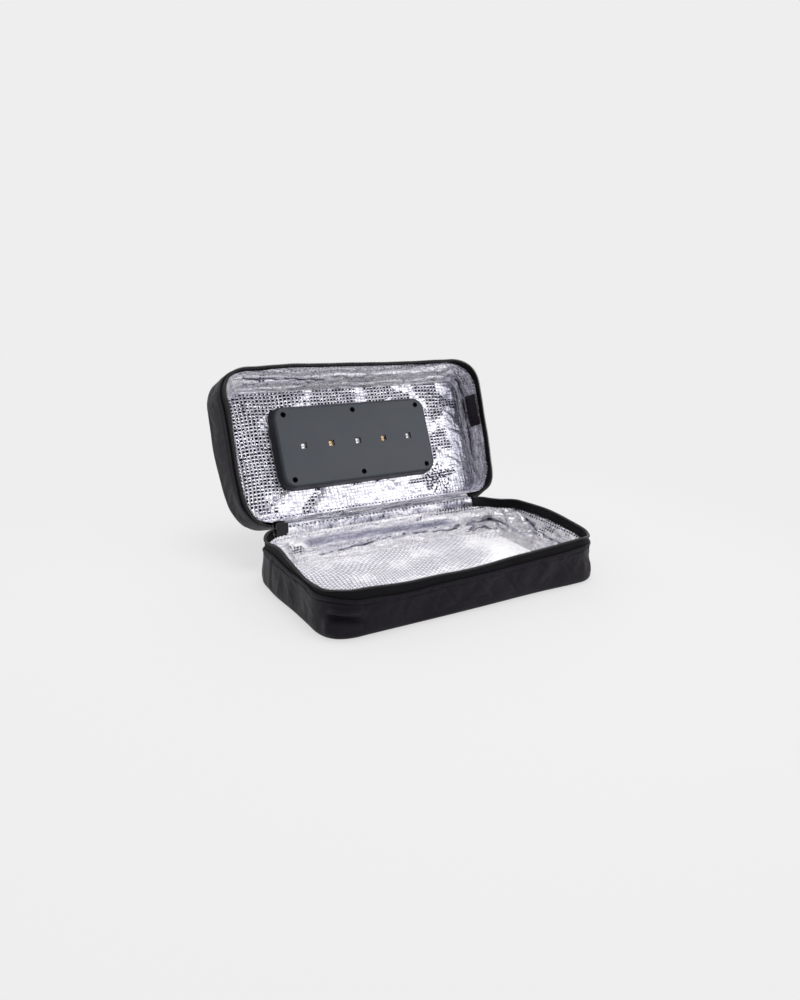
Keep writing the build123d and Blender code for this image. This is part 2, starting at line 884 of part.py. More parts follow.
# ---------------------------------------------------------------- build
still_pieces = [
    base_shell,
    base_hem,
    base_zip_tape,
    base_zip_coil,
    zip_end_tab,
    base_foam,
    base_floor_board,
    base_lining,
    base_floor_mat,
    base_magnet,
    hinge_strip_base,
    hinge_lining_base,
    zip_slider,
    zip_pull,
]
lid_pieces = [
    lid_shell,
    lid_hem,
    lid_zip_tape,
    lid_zip_coil,
    lid_foam,
    lid_wall_lining,
    lid_panel_lining,
    hinge_strip_lid,
    hinge_lining_lid,
    sensor_pocket,
    lid_sensor,
    sensor_lead,
    lamp_faceplate,
    lamp_housing,
    faceplate_screws,
    led_board,
    led_board_screws,
    uvc_led_packages,
    uva_led_packages,
    led_chips,
    led_cover_glasses,
    driver_board,
    driver_board_screws,
    driver_chips,
    board_connector,
    control_bezel,
    bezel_screws,
    power_button,
    push_switch,
    usb_socket,
    indicator_led,
    light_pipe,
]


def as_one(made):
    """A piece, or a group of like pieces kept as separate solids."""
    return Compound(children=made) if isinstance(made, list) else made


os.makedirs("parts", exist_ok=True)
for make in still_pieces:
    export_step(as_one(make()), f"parts/{make.__name__}.step")
for make in lid_pieces:
    opened = as_one(make()).rotate(hinge_axis, -open_angle)
    export_step(opened, f"parts/{make.__name__}.step")

print("hinge axis", round(axis_y, 3), round(axis_z, 3))
print("slider turn", round(slider_angle, 3), "bar radius", round(bar_r, 3))
print("lead bend radius", lead_bend)
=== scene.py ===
"""Looks of a soft zip-up sanitizing pouch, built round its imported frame. Metres, in the frame's own axes."""

import json
import math

import bmesh
import bpy
from mathutils import Matrix, Quaternion, Vector, geometry, noise


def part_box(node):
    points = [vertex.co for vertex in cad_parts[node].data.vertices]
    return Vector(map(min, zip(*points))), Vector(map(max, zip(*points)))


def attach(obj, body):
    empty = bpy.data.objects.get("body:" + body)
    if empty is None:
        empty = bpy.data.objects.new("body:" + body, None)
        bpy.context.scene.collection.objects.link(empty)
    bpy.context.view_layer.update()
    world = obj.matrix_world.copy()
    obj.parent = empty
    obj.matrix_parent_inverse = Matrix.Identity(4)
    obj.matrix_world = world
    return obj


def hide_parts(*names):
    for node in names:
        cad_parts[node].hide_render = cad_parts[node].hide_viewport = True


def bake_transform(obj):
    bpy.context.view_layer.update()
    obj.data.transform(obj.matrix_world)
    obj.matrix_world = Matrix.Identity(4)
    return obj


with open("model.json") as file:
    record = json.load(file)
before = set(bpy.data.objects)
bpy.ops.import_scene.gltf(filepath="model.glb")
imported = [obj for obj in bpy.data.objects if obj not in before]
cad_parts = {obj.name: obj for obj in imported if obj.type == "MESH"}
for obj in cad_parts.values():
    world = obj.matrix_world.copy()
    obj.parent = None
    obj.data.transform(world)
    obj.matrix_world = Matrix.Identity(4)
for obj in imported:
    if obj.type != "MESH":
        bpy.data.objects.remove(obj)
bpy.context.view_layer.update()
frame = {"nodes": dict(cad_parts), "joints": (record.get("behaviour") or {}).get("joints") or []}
mm = 0.001
# The creases of the film are drawn from this seed, so that they are the same each run.
noise.seed_set(7)

# ---------------------------------------------------------------- camera
# A wide lens half a metre away, in front of the pouch's left end and a little above it, tipped by two
# degrees.
camera_azimuth = math.radians(-32.69)
camera_elevation = math.radians(17.43)
camera_roll = math.radians(2.29)
camera_distance = 518 * mm
camera_aim = Vector((-20.8, 11.8, 55.8)) * mm

camera = bpy.data.objects.new("camera", bpy.data.cameras.new("camera"))
camera.data.lens = 27.43
camera.data.sensor_width = 36
camera.data.clip_start = 10 * mm
back = Vector((
    math.sin(camera_azimuth) * math.cos(camera_elevation),
    -math.cos(camera_azimuth) * math.cos(camera_elevation),
    math.sin(camera_elevation),
))
camera.rotation_mode = "QUATERNION"
camera.rotation_quaternion = back.to_track_quat("Z", "Y") @ Quaternion((0, 0, 1), camera_roll)
camera.location = camera_aim + back * camera_distance
bpy.context.collection.objects.link(camera)
bpy.context.scene.camera = camera

# ---------------------------------------------------------------- studio
# A pale table that runs on into a pale room, with soft boxes in front and at the sides. Mirror-like things
# also see a dark ceiling. The part's soft shadow fades out a hand's breadth from it.
pale = (0.855, 0.855, 0.855, 1)
room_dark = (0.035, 0.036, 0.04, 1)
table_size = 6.0
shadow_share = 0.3
shadow_start = 180 * mm
shadow_end = 420 * mm


def new_material(name, color=(0.8, 0.8, 0.8), roughness=0.5, **sockets):
    """A material with one shader, and its nodes and links."""
    made = bpy.data.materials.new(name)
    made.use_nodes = True
    shader = made.node_tree.nodes["Principled BSDF"]
    shader.inputs["Base Color"].default_value = (*color, 1)
    shader.inputs["Roughness"].default_value = roughness
    for socket, value in sockets.items():
        shader.inputs[socket.replace("_", " ")].default_value = value
    return made


def add_node(tree, kind, place=(), **settings):
    """A node with its settings and the values of its input sockets."""
    node = tree.nodes.new(kind)
    for key, value in settings.items():
        setattr(node, key, value)
    for socket, value in dict(place).items():
        if hasattr(value, "links"):
            tree.links.new(value, node.inputs[socket])
        else:
            node.inputs[socket].default_value = value
    return node


table_paint = bpy.data.materials.new("table_paint")
table_paint.use_nodes = True
tree = table_paint.node_tree
tree.nodes.clear()
path = add_node(tree, "ShaderNodeLightPath")
seen = add_node(tree, "ShaderNodeMath", {0: path.outputs["Is Camera Ray"], 1: path.outputs["Is Glossy Ray"]},
                operation="MAXIMUM")
seen = add_node(tree, "ShaderNodeMath", {0: seen.outputs[0], 1: path.outputs["Is Transmission Ray"]},
                operation="MAXIMUM")
place = add_node(tree, "ShaderNodeTexCoord").outputs["Object"]
from_middle = add_node(tree, "ShaderNodeVectorMath", {0: place}, operation="LENGTH")
plain = add_node(tree, "ShaderNodeMapRange", {"Value": from_middle.outputs["Value"], "From Min": shadow_start,
                                              "From Max": shadow_end, "To Min": 1 - shadow_share, "To Max": 1.0},
                 interpolation_type="SMOOTHSTEP")
share = add_node(tree, "ShaderNodeMath", {0: seen.outputs[0], 1: plain.outputs[0]}, operation="MULTIPLY")
lit = add_node(tree, "ShaderNodeBsdfDiffuse", {"Color": (0.68, 0.68, 0.68, 1)})
glow = add_node(tree, "ShaderNodeEmission", {"Color": pale, "Strength": 1.0})
mixed = add_node(tree, "ShaderNodeMixShader", {0: share.outputs[0], 1: lit.outputs[0], 2: glow.outputs[0]})
add_node(tree, "ShaderNodeOutputMaterial", {"Surface": mixed.outputs[0]})

table_mesh = bpy.data.meshes.new("table")
bm = bmesh.new()
bmesh.ops.create_grid(bm, x_segments=1, y_segments=1, size=table_size / 2)
bm.to_mesh(table_mesh)
bm.free()
table_top = bpy.data.objects.new("table", table_mesh)
table_top.data.materials.append(table_paint)
bpy.context.collection.objects.link(table_top)

world = bpy.data.worlds.new("room")
world.use_nodes = True
bpy.context.scene.world = world
tree = world.node_tree
tree.nodes.clear()
way = add_node(tree, "ShaderNodeTexCoord").outputs["Generated"]
over_camera = add_node(tree, "ShaderNodeVectorMath", {0: way, 1: (-0.45, -0.62, 0.64)}, operation="DOT_PRODUCT")
overhead = add_node(tree, "ShaderNodeVectorMath", {0: way, 1: (0.05, 0.1, 0.99)}, operation="DOT_PRODUCT")
darkest = add_node(tree, "ShaderNodeMath", {0: over_camera.outputs["Value"], 1: overhead.outputs["Value"]},
                   operation="MAXIMUM")
gloom = add_node(tree, "ShaderNodeMapRange", {"Value": darkest.outputs[0], "From Min": 0.62, "From Max": 0.93})
seen_by = add_node(tree, "ShaderNodeLightPath")
above = add_node(tree, "ShaderNodeMath", {0: gloom.outputs[0], 1: seen_by.outputs["Is Glossy Ray"]},
                 operation="MULTIPLY")
room = add_node(tree, "ShaderNodeMix", {0: above.outputs[0], 6: pale, 7: room_dark}, data_type="RGBA")
sky = add_node(tree, "ShaderNodeBackground", {"Color": room.outputs[2], "Strength": 1.0})
add_node(tree, "ShaderNodeOutputWorld", {"Surface": sky.outputs[0]})

soft_boxes = (
    # name, place, width, height, watts
    ("front_box", (0.82, -1.12, 0.68), 1.25, 1.0, 4.5),
    ("left_box", (-1.2, 0.75, 0.6), 0.7, 0.6, 2.2),
    ("rear_box", (0.95, 1.45, 0.62), 1.3, 0.9, 5.0),
    ("top_box", (0.05, 0.05, 1.3), 0.6, 0.5, 6.9),
)
for name, place, box_width, box_height, watts in soft_boxes:
    lamp = bpy.data.objects.new(name, bpy.data.lights.new(name, "AREA"))
    lamp.data.shape = "RECTANGLE"
    lamp.data.size, lamp.data.size_y = box_width, box_height
    lamp.data.energy = watts
    lamp.location = place
    lamp.rotation_euler = (Vector(place) - Vector((0, 0, 0.05))).to_track_quat("Z", "Y").to_euler()
    lamp.visible_camera = False
    bpy.context.collection.objects.link(lamp)
bpy.context.scene.view_settings.view_transform = "Standard"

# ---------------------------------------------------------------- base cover
# Coated black polyester, cut as one wall band and a bottom panel. The band's top edge is folded in on itself
# and sewn down, and the wall leans in a little towards the table.
half_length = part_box("base_shell")[1].x
half_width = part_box("base_shell")[1].y
corner_radius = 22 * mm
core_x = half_length - corner_radius
core_y = half_width - corner_radius
whole_way = 4 * (core_x + core_y) + 2 * math.pi * corner_radius
wall_spacing = 1.5 * mm
foot_inset = 0.6 * mm
foot_radius = 3 * mm
hem_depth = 5.5 * mm
fold_inset = 1.4 * mm
stitch_drop = 3 * mm
settle_frames = 12
base_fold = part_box("base_shell")[1].z
base_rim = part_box("base_zip_coil")[1].z

# Where the soft edge rises and sags, and where the folded top of the wall does: x, y, reach and lift in
# millimetres. Then where the walls bulge or lean in, near their tops and near the table, in the same way.
edge_waves = (
    (-110, 16, 15, 3.4),
    (-110, -26, 14, -2.4),
    (-106, -45, 8, -1.2),
    (-58, -57, 21, -1.9),
    (-12, -57, 33, -2.7),
    (80, -57, 24, 1.6),
    (110, 2, 26, 2.3),
    (108, -50, 12, -1.6),
    (100, 52, 14, -2.2),
)
fold_waves = (
    (-110, 22, 24, 3.2),
    (-110, -22, 18, 2.4),
    (-103, -50, 12, 1.4),
    (-58, -57, 21, -1.9),
    (-12, -57, 33, -1.2),
    (50, -57, 20, 0.5),
    (95, -57, 30, 2.4),
)
top_bulges = (
    (110, -57, 24, -3.0),
    (-110, 57, 12, -5.0),
)
foot_bulges = (
    (-110, -57, 12, 3.6),
    (-110, 16, 18, 1.3),
    (-8, -57, 72, 1.2),
    (86, -60, 28, 1.9),
    (112, -42, 13, -2.4),
)


def outward(point):
    """The point of the plan's core behind a point of the wall, and the wall's way out there."""
    foot = Vector((max(-core_x, min(core_x, point.x)), max(-core_y, min(core_y, point.y)), 0))
    return foot, (Vector((point.x, point.y, 0)) - foot).normalized()


def around(foot, way, side):
    """Distance round the plan from the middle of the front."""
    across = abs(foot.x) if way.y < 0 else 2 * core_x - abs(foot.x)
    turned = corner_radius * math.atan2(abs(way.x), -way.y)
    return math.copysign(across + turned + foot.y + core_y, side)


def bump_at(point, x, y, reach):
    """One near a place in the plan, and nothing far from it. All in millimetres but the point."""
    return math.exp(-((point.x / mm - x) ** 2 + (point.y / mm - y) ** 2) / reach**2)


def waves_at(point, waves):
    """The sum of some waves at a place in the plan."""
    return sum(bump_at(point, x, y, reach) * size for x, y, reach, size in waves) * mm


def edge_lift(point):
    return waves_at(point, edge_waves)


def smooth(value, low, high):
    """Nothing below low, one above high, and an easy rise between."""
    share = max(0.0, min(1.0, (value - low) / (high - low)))
    return share * share * (3 - 2 * share)


def plan_loop(bm, spacing):
    """A loop of even edges round the pouch's plan."""
    steps = 4 * round(corner_radius * math.pi / 2 / spacing)
    half_step = Matrix.Rotation(math.pi / steps, 4, "Z")
    made = bmesh.ops.create_circle(bm, segments=steps, radius=corner_radius, matrix=half_step)["verts"]
    for vert in made:
        vert.co += Vector((math.copysign(core_x, vert.co.x), math.copysign(core_y, vert.co.y), 0))
    for side, axis in ((core_x, 0), (core_y, 1)):
        straight = [e for e in bm.edges if abs(e.verts[0].co[axis] - e.verts[1].co[axis]) > side]
        bmesh.ops.subdivide_edges(bm, edges=straight, cuts=round(2 * side / spacing) - 1)
    return bm.edges[:]


def draw_wall(bm, edges, rows, place):
    """Draws a loop out into a wall, one row after another. place(foot, way, row) gives a point's new place."""
    plan = {vert: outward(vert.co) for edge in edges for vert in edge.verts}
    for vert, (foot, way) in plan.items():
        vert.co = place(foot, way, rows[0])
    for row in rows[1:]:
        made = bmesh.ops.extrude_edge_only(bm, edges=edges)["geom"]
        verts = {g for g in made if isinstance(g, bmesh.types.BMVert)}
        edges = [g for g in made if isinstance(g, bmesh.types.BMEdge) and set(g.verts) <= verts]
        next_plan = {}
        for vert in verts:
            below = next(e.other_vert(vert) for e in vert.link_edges if e.other_vert(vert) in plan)
            next_plan[vert] = plan[below]
            vert.co = place(*plan[below], row)
        plan = next_plan
    return edges


def on_plan(foot, way, inset, z):
    return foot + way * (corner_radius - inset) + Vector((0, 0, z))


def on_base(foot, way, inset, z):
    """A point of the base's wall, with the wall's bulges."""
    point = on_plan(foot, way, inset, z)
    upper = smooth(z, 4 * mm, 22 * mm)
    return point + way * (waves_at(point, top_bulges) * upper + waves_at(point, foot_bulges) * (1 - upper))


def arc_rows(centre, radius, start, end, steps):
    """(inset, height) rows along an arc, with angles in degrees from the way in."""
    angles = [math.radians(start + (end - start) * i / steps) for i in range(steps + 1)]
    return [(centre[0] + radius * math.cos(a), centre[1] + radius * math.sin(a)) for a in angles]


def line_rows(start, end, steps):
    """(inset, height) rows along a straight line, without its start."""
    return [
        (start[0] + (end[0] - start[0]) * i / steps, start[1] + (end[1] - start[1]) * i / steps)
        for i in range(1, steps + 1)
    ]


def finish_piece(name, bm, *materials, smooth_faces=True):
    """Makes a mesh object at the origin from a bmesh. Its edges and faces are put in the order of their points,
    because an extruded row comes in another order each run, and cloth settles by that order."""
    bm.verts.index_update()
    for parts in (bm.edges, bm.faces):
        for index, part in enumerate(sorted(parts, key=lambda each: sorted(vert.index for vert in each.verts))):
            part.index = index
        parts.sort()
    mesh = bpy.data.meshes.new(name)
    bm.to_mesh(mesh)
    bm.free()
    for face in mesh.polygons:
        face.use_smooth = smooth_faces
    for each in materials:
        mesh.materials.append(each)
    piece = bpy.data.objects.new(name, mesh)
    bpy.context.collection.objects.link(piece)
    return piece


def give_thickness(piece, thickness, offset=0.0):
    """Makes a sheet of cloth as thick as it is, centred on the sheet."""
    layer = piece.modifiers.new("thickness", "SOLIDIFY")
    layer.thickness = thickness
    layer.offset = offset


def woven_cloth(name, color, light, roughness, thread, sheen):
    """Coated plain weave: a fine thread grid in the bump, and faint uneven dye and wear in the colour."""
    made = new_material(name, color, roughness, Specular_IOR_Level=0.14, Sheen_Weight=sheen, Sheen_Roughness=0.45,
                        Specular_Tint=(0.95, 0.88, 1, 1))
    tree = made.node_tree
    shader = tree.nodes["Principled BSDF"]
    place = add_node(tree, "ShaderNodeTexCoord").outputs["Object"]
    patches = add_node(tree, "ShaderNodeTexNoise", {"Vector": place, "Scale": 42.0, "Detail": 4.0})
    tone = add_node(tree, "ShaderNodeValToRGB", {"Fac": patches.outputs["Fac"]})
    tone.color_ramp.elements[0].position = 0.35
    tone.color_ramp.elements[0].color = (*color, 1)
    tone.color_ramp.elements[1].position = 0.75
    tone.color_ramp.elements[1].color = (*light, 1)
    tree.links.new(tone.outputs["Color"], shader.inputs["Base Color"])
    heights = []
    for turn in (0.0, math.pi / 2):
        mapped = add_node(tree, "ShaderNodeMapping", {"Vector": place, "Rotation": (turn, turn, turn)})
        heights.append(add_node(tree, "ShaderNodeTexWave",
                                {"Vector": mapped.outputs["Vector"], "Scale": 1 / thread, "Distortion": 0.6},
                                bands_direction="DIAGONAL"))
    woven = add_node(tree, "ShaderNodeMath", {0: heights[0].outputs["Fac"], 1: heights[1].outputs["Fac"]},
                     operation="MULTIPLY")
    fine = add_node(tree, "ShaderNodeBump", {"Height": woven.outputs[0], "Strength": 0.35, "Distance": 0.2 * mm})
    creased = add_node(tree, "ShaderNodeTexNoise", {"Vector": place, "Scale": 110.0, "Detail": 5.0})
    soft = add_node(tree, "ShaderNodeBump", {"Height": creased.outputs["Fac"], "Strength": 0.3,
                                             "Distance": 1.2 * mm, "Normal": fine.outputs["Normal"]})
    tree.links.new(soft.outputs["Normal"], shader.inputs["Normal"])
    return made


outer_cloth = woven_cloth("outer_cloth", (0.0058, 0.0047, 0.007), (0.0102, 0.0085, 0.0122), 0.48, 0.45 * mm, 0.05)


def fold_lift(foot, way):
    """How far the folded top edge stands above its nominal height."""
    return waves_at(foot + way * corner_radius, fold_waves)


def soft_swell(point, seed):
    """Slow swells and folds of the padded wall, in millimetres, out from its plan."""
    x, y, z = point / mm
    slow = noise.noise(Vector((x / 34 + seed, y / 34, z / 26)))
    folds = noise.noise(Vector((x / 13, y / 13 + seed, z / 55)))
    fine = noise.noise(Vector((x / 7, y / 7, z / 9 + seed)))
    return 0.75 * slow + 0.5 * folds + 0.16 * fine


def base_wrinkle(point):
    """The base wall's swells, with the pinched front left corner, soft folds at the left and a nick at the right."""
    x, y, z = point / mm
    in_corner = smooth(x, -107, -103) * (1 - smooth(x, -97, -82)) * (1 - smooth(y, -50, -44))
    pinch = math.exp(-(((z - 13.6 + 0.12 * (x + 105)) / (1.1 + 0.05 * max(0, x + 107))) ** 2)) * in_corner
    ridge = math.exp(-(((z - 17.6) / 1.7) ** 2)) * in_corner + bump_at(point, -105.5, -49, 3.5) * (1 - smooth(z, 10, 14))
    nick = math.exp(-(((z - 13.5) / 1.6) ** 2)) * smooth(x, 98, 108)
    left = 1 - smooth(x, -108, -100)
    pleats = math.exp(-(((y - 27 + 0.2 * z) / 2.2) ** 2)) + 0.7 * math.exp(-(((y - 14 + 0.3 * z) / 2.6) ** 2))
    shear = abs(noise.noise(Vector(((x + 0.9 * z) / 17, z / 40, 9)))) * smooth(x, -60, 0)
    return (soft_swell(point, 3.1) + 2.5 * ridge - 5.2 * pinch - 1.6 * nick + 0.8 * pleats * left + 0.9 * shear) * mm


def welt(past_seam):
    """The sewn edge: a groove at the stitches and a raised fold past them."""
    groove = math.exp(-((past_seam / (0.55 * mm)) ** 2))
    fold = math.exp(-(((past_seam - 1.5 * mm) / (0.9 * mm)) ** 2))
    return (0.35 * fold - 0.55 * groove) * mm


def wall_share(z, low, high):
    """One in the middle of a wall, and nothing where it is held at its foot and its sewn edge."""
    return math.sin(math.pi * max(0.0, min(1.0, (z - low) / (high - low)))) ** 0.6


def place_base_cover(foot, way, row):
    inset, z = row
    lifted = z + fold_lift(foot, way) * smooth(z, foot_radius, base_fold)
    point = on_base(foot, way, inset, lifted)
    if row in base_outer_rows:
        point += way * base_wrinkle(point) * wall_share(z, 0, base_fold - fold_inset)
        point += way * welt(z - (base_fold - stitch_drop))
    return point


def settle_cloth(piece, held, growth, push, most):
    """Lets cloth that was cut a little too large find its own folds, with its sewn parts held. held gives how
    firmly a point is held, growth is the spare share of cloth, and no point moves further than most."""
    scene = bpy.context.scene
    start = [vert.co.copy() for vert in piece.data.vertices]
    group = piece.vertex_groups.new(name="held")
    for vert in piece.data.vertices:
        group.add([vert.index], held(vert.co), "REPLACE")
    cloth = piece.modifiers.new("cloth", "CLOTH")
    cloth.settings.vertex_group_mass = group.name
    cloth.settings.quality = 5
    cloth.settings.mass = 0.1
    cloth.settings.tension_stiffness = 20
    cloth.settings.compression_stiffness = 20
    cloth.settings.shear_stiffness = 8
    cloth.settings.bending_stiffness = 0.02
    cloth.settings.air_damping = 2
    cloth.settings.shrink_min = -growth
    cloth.settings.use_pressure = True
    cloth.settings.uniform_pressure_force = push
    cloth.settings.effector_weights.gravity = 0
    cloth.collision_settings.use_collision = False
    cloth.point_cache.frame_start = 1
    cloth.point_cache.frame_end = settle_frames
    for step in range(1, settle_frames + 1):
        scene.frame_set(step)
    settled = piece.evaluated_get(bpy.context.evaluated_depsgraph_get()).data
    ends = [vert.co.copy() for vert in settled.vertices]
    piece.modifiers.remove(cloth)
    piece.vertex_groups.remove(group)
    scene.frame_set(1)
    ways_out = [vert.normal.copy() for vert in piece.data.vertices]
    for vert, before, after, way_out in zip(piece.data.vertices, start, ends, ways_out):
        move = after - before
        move -= way_out * min(0.0, move.dot(way_out) + 0.4 * mm)
        vert.co = before + move * min(1.0, most / max(move.length, 1e-9))


fold_top = base_fold - fold_inset / 2
seam_top = base_fold - stitch_drop - 1.2 * mm
foot_rows = arc_rows((foot_inset + foot_radius, foot_radius), foot_radius, 270, 180, 5)
base_outer_rows = line_rows((foot_inset, foot_radius), (0.2 * mm, seam_top), 18)
base_outer_rows += line_rows((0.2 * mm, seam_top), (0, fold_top), 7)
over_rows = arc_rows((fold_inset / 2, fold_top), fold_inset / 2, 180, 0, 5)[1:]
hem_rows = line_rows((fold_inset, fold_top), (fold_inset, fold_top - hem_depth), 4)

bm = bmesh.new()
loop = plan_loop(bm, wall_spacing)
bmesh.ops.contextual_create(bm, geom=loop)
bottom = bm.faces[:]
draw_wall(bm, loop, foot_rows + base_outer_rows + over_rows + hem_rows, place_base_cover)
bmesh.ops.recalc_face_normals(bm, faces=bm.faces)
base_cover = finish_piece("base_cover", bm, outer_cloth)


def held_on_base(point):
    """Held at the foot, from the stitches up, and behind the hinge."""
    lift = waves_at(point, fold_waves)
    behind = smooth(point.y, half_width - 7 * mm, half_width - 3 * mm)
    return max(1 - smooth(point.z, 3.5 * mm, 8 * mm), smooth(point.z - lift, 22 * mm, 25.5 * mm), behind)


settle_cloth(base_cover, held_on_base, 0.011, 0.5, 2 * mm)
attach(base_cover, "base")
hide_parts("base_shell", "base_hem")

# ---------------------------------------------------------------- base zip tape
# Matte black woven tape, sewn inside the hem and standing up out of it. It runs round three sides, and its
# two ends turn out to the hinge, where the lid's tape meets them.
tape = 0.7 * mm
tape_inset = 1.75 * mm
tape_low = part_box("base_zip_tape")[0].z
tape_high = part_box("base_zip_tape")[1].z
tape_spacing = 1.2 * mm
hinge_joint = next(joint for joint in frame["joints"] if joint["name"] == "lid_hinge")
hinge = Vector(hinge_joint["pos_m"])
zip_left = -94.5 * mm
zip_right = 80.3 * mm
turn_out = 15 * mm

tape_cloth = woven_cloth("tape_cloth", (0.0035, 0.0034, 0.0038), (0.0065, 0.0062, 0.0068), 0.75, 0.7 * mm, 0.03)


def drawn_to_hinge(point, share):
    """Brings the end of a band over to the hinge line near the hinge's two ends."""
    right = 1 - smooth(point.x, zip_right, zip_right + turn_out)
    left = 0.6 * (1 - smooth(-point.x, -zip_left, -zip_left + turn_out))
    near = max(right if point.x > 0 else 0, left if point.x < 0 else 0) * (point.y > half_width / 2)
    target = Vector((point.x, hinge.y, hinge.z))
    return point.lerp(target, near * share)


def at_hinge_gap(face):
    """Whether a face of a band lies over the hinge or the parked slider."""
    middle = face.calc_center_median()
    return middle.y > half_width / 2 and zip_left < middle.x < zip_right


def place_base_tape(foot, way, row):
    inset, z = row
    share = smooth(z, base_fold - 4 * mm, base_rim)
    point = on_base(foot, way, inset, z + edge_lift(foot + way * corner_radius) * share)
    point += way * 0.25 * mm * noise.noise(point / (12 * mm)) * share
    return drawn_to_hinge(point, share)


bm = bmesh.new()
draw_wall(bm, plan_loop(bm, tape_spacing), [(tape_inset, tape_low)] + line_rows(
    (tape_inset, tape_low), (tape_inset, tape_high + 0.6 * mm), 11), place_base_tape)
bmesh.ops.delete(bm, geom=[f for f in bm.faces if at_hinge_gap(f)], context="FACES")
bmesh.ops.recalc_face_normals(bm, faces=bm.faces)
base_tape = finish_piece("base_tape", bm, tape_cloth)
give_thickness(base_tape, tape)
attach(base_tape, "base")
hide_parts("base_zip_tape")

# ---------------------------------------------------------------- base zip teeth
# One nylon filament, wound into a coil and sewn along the tape's free edge. Each turn shows as a small
# rounded bar across the edge.
tooth_pitch = 1.25 * mm
tooth_size = Vector((1.9, 0.8, 1.15)) * mm
tooth_bevel = 0.22 * mm

nylon = new_material("nylon", (0.02, 0.02, 0.022), 0.34)
tree = nylon.node_tree
fleck = add_node(tree, "ShaderNodeTexNoise", {"Vector": add_node(tree, "ShaderNodeTexCoord").outputs["Object"],
                                              "Scale": 900.0})
polish = add_node(tree, "ShaderNodeMapRange", {"Value": fleck.outputs["Fac"], "To Min": 0.3, "To Max": 0.5})
tree.links.new(polish.outputs[0], tree.nodes["Principled BSDF"].inputs["Roughness"])


def plan_at(distance):
    """The plan's core point and way out, a distance round from the middle of the front."""
    side = math.copysign(1, distance)
    left = abs(distance)
    quarter = corner_radius * math.pi / 2
    if left < core_x:
        return Vector((side * left, -core_y, 0)), Vector((0, -1, 0))
    left -= core_x
    if left < quarter:
        turned = left / corner_radius
        return Vector((side * core_x, -core_y, 0)), Vector((side * math.sin(turned), -math.cos(turned), 0))
    left -= quarter
    if left < 2 * core_y:
        return Vector((side * core_x, left - core_y, 0)), Vector((side, 0, 0))
    left -= 2 * core_y
    if left < quarter:
        turned = left / corner_radius
        return Vector((side * core_x, core_y, 0)), Vector((side * math.cos(turned), math.sin(turned), 0))
    left -= quarter
    return Vector((side * (core_x - left), core_y, 0)), Vector((0, 1, 0))


def distances_between(start, end, pitch):
    """Evenly spaced distances round the plan."""
    count = int((end - start) / pitch)
    return [start + (i + 0.5) * pitch for i in range(count)]


def end_distance(x):
    """How far round the plan the rear edge's point at x lies."""
    foot, way = outward(Vector((x, half_width, 0)))
    return around(foot, way, x)


def add_bars(bm, distances, pitch_phase, size, place_bar):
    """A small bar across the edge at each distance, square to the plan."""
    for distance in distances:
        foot, way = plan_at(distance + pitch_phase)
        middle = place_bar(foot, way)
        turn = Matrix((way, Vector((-way.y, way.x, 0)), Vector((0, 0, 1)))).transposed().to_4x4()
        bmesh.ops.create_cube(bm, size=1, matrix=Matrix.Translation(middle) @ turn @ Matrix.Diagonal((*size, 1)))


zip_start = end_distance(zip_left)
zip_end = end_distance(zip_right)
bm = bmesh.new()
add_bars(bm, distances_between(zip_start, zip_end, tooth_pitch), 0, tooth_size,
         lambda foot, way: place_base_tape(foot, way, (tape_inset, base_rim - tooth_size.z / 2)))
bmesh.ops.bevel(bm, geom=bm.edges, offset=tooth_bevel, segments=1, profile=0.5, affect="EDGES", material=-1)
base_teeth = finish_piece("base_teeth", bm, nylon)
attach(base_teeth, "base")
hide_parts("base_zip_coil")

# ---------------------------------------------------------------- base hem stitches
# One row of black lockstitch, three millimetres below the folded edge, lying in the groove that it pulls.
stitch_pitch = 3.0 * mm
stitch_size = Vector((0.35, 2.1, 0.4)) * mm

thread_dye = new_material("thread_dye", (0.007, 0.0065, 0.0075), 0.75, Specular_IOR_Level=0.15)
tree = thread_dye.node_tree
twist = add_node(tree, "ShaderNodeTexWave", {"Vector": add_node(tree, "ShaderNodeTexCoord").outputs["Object"],
                                             "Scale": 900.0}, bands_direction="DIAGONAL")
plied = add_node(tree, "ShaderNodeBump", {"Height": twist.outputs["Fac"], "Strength": 0.6, "Distance": 0.1 * mm})
tree.links.new(plied.outputs["Normal"], tree.nodes["Principled BSDF"].inputs["Normal"])


def place_base_stitch(foot, way):
    z = base_fold - stitch_drop
    lifted = z + fold_lift(foot, way) * smooth(z, foot_radius, base_fold)
    point = on_base(foot, way, 0.3 * mm, lifted)
    return point + way * base_wrinkle(point) * wall_share(z, 0, base_fold - fold_inset)


bm = bmesh.new()
add_bars(bm, distances_between(-whole_way / 2, whole_way / 2, stitch_pitch), 0, stitch_size, place_base_stitch)
bmesh.ops.bevel(bm, geom=bm.edges, offset=0.1 * mm, segments=1, profile=0.5, affect="EDGES", material=-1)
base_stitches = finish_piece("base_stitches", bm, thread_dye)
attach(base_stitches, "base")

# ---------------------------------------------------------------- base foil walls
# Metallised film on thin foam, pressed with small cells and then crumpled by sewing and use. It curves from
# under the zip tape down to a bright scoop on the floor, and is pleated where it turns the corners.
foil_spacing = 0.64 * mm
foil_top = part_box("base_lining")[1].z
floor_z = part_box("base_floor_mat")[0].z
foil_inset = 2.3 * mm
floor_radius = 13 * mm
floor_core_x = half_length - 17 * mm - floor_radius
floor_core_y = half_width - 7.5 * mm - floor_radius
flange_width = 4 * mm
cell_long = 3.2 * mm
cell_short = 2.5 * mm
base_wall_steps = 54
# The lavender grey that the film's painted shade passes through.
painted_shade_grey = (0.37, 0.365, 0.46, 1)

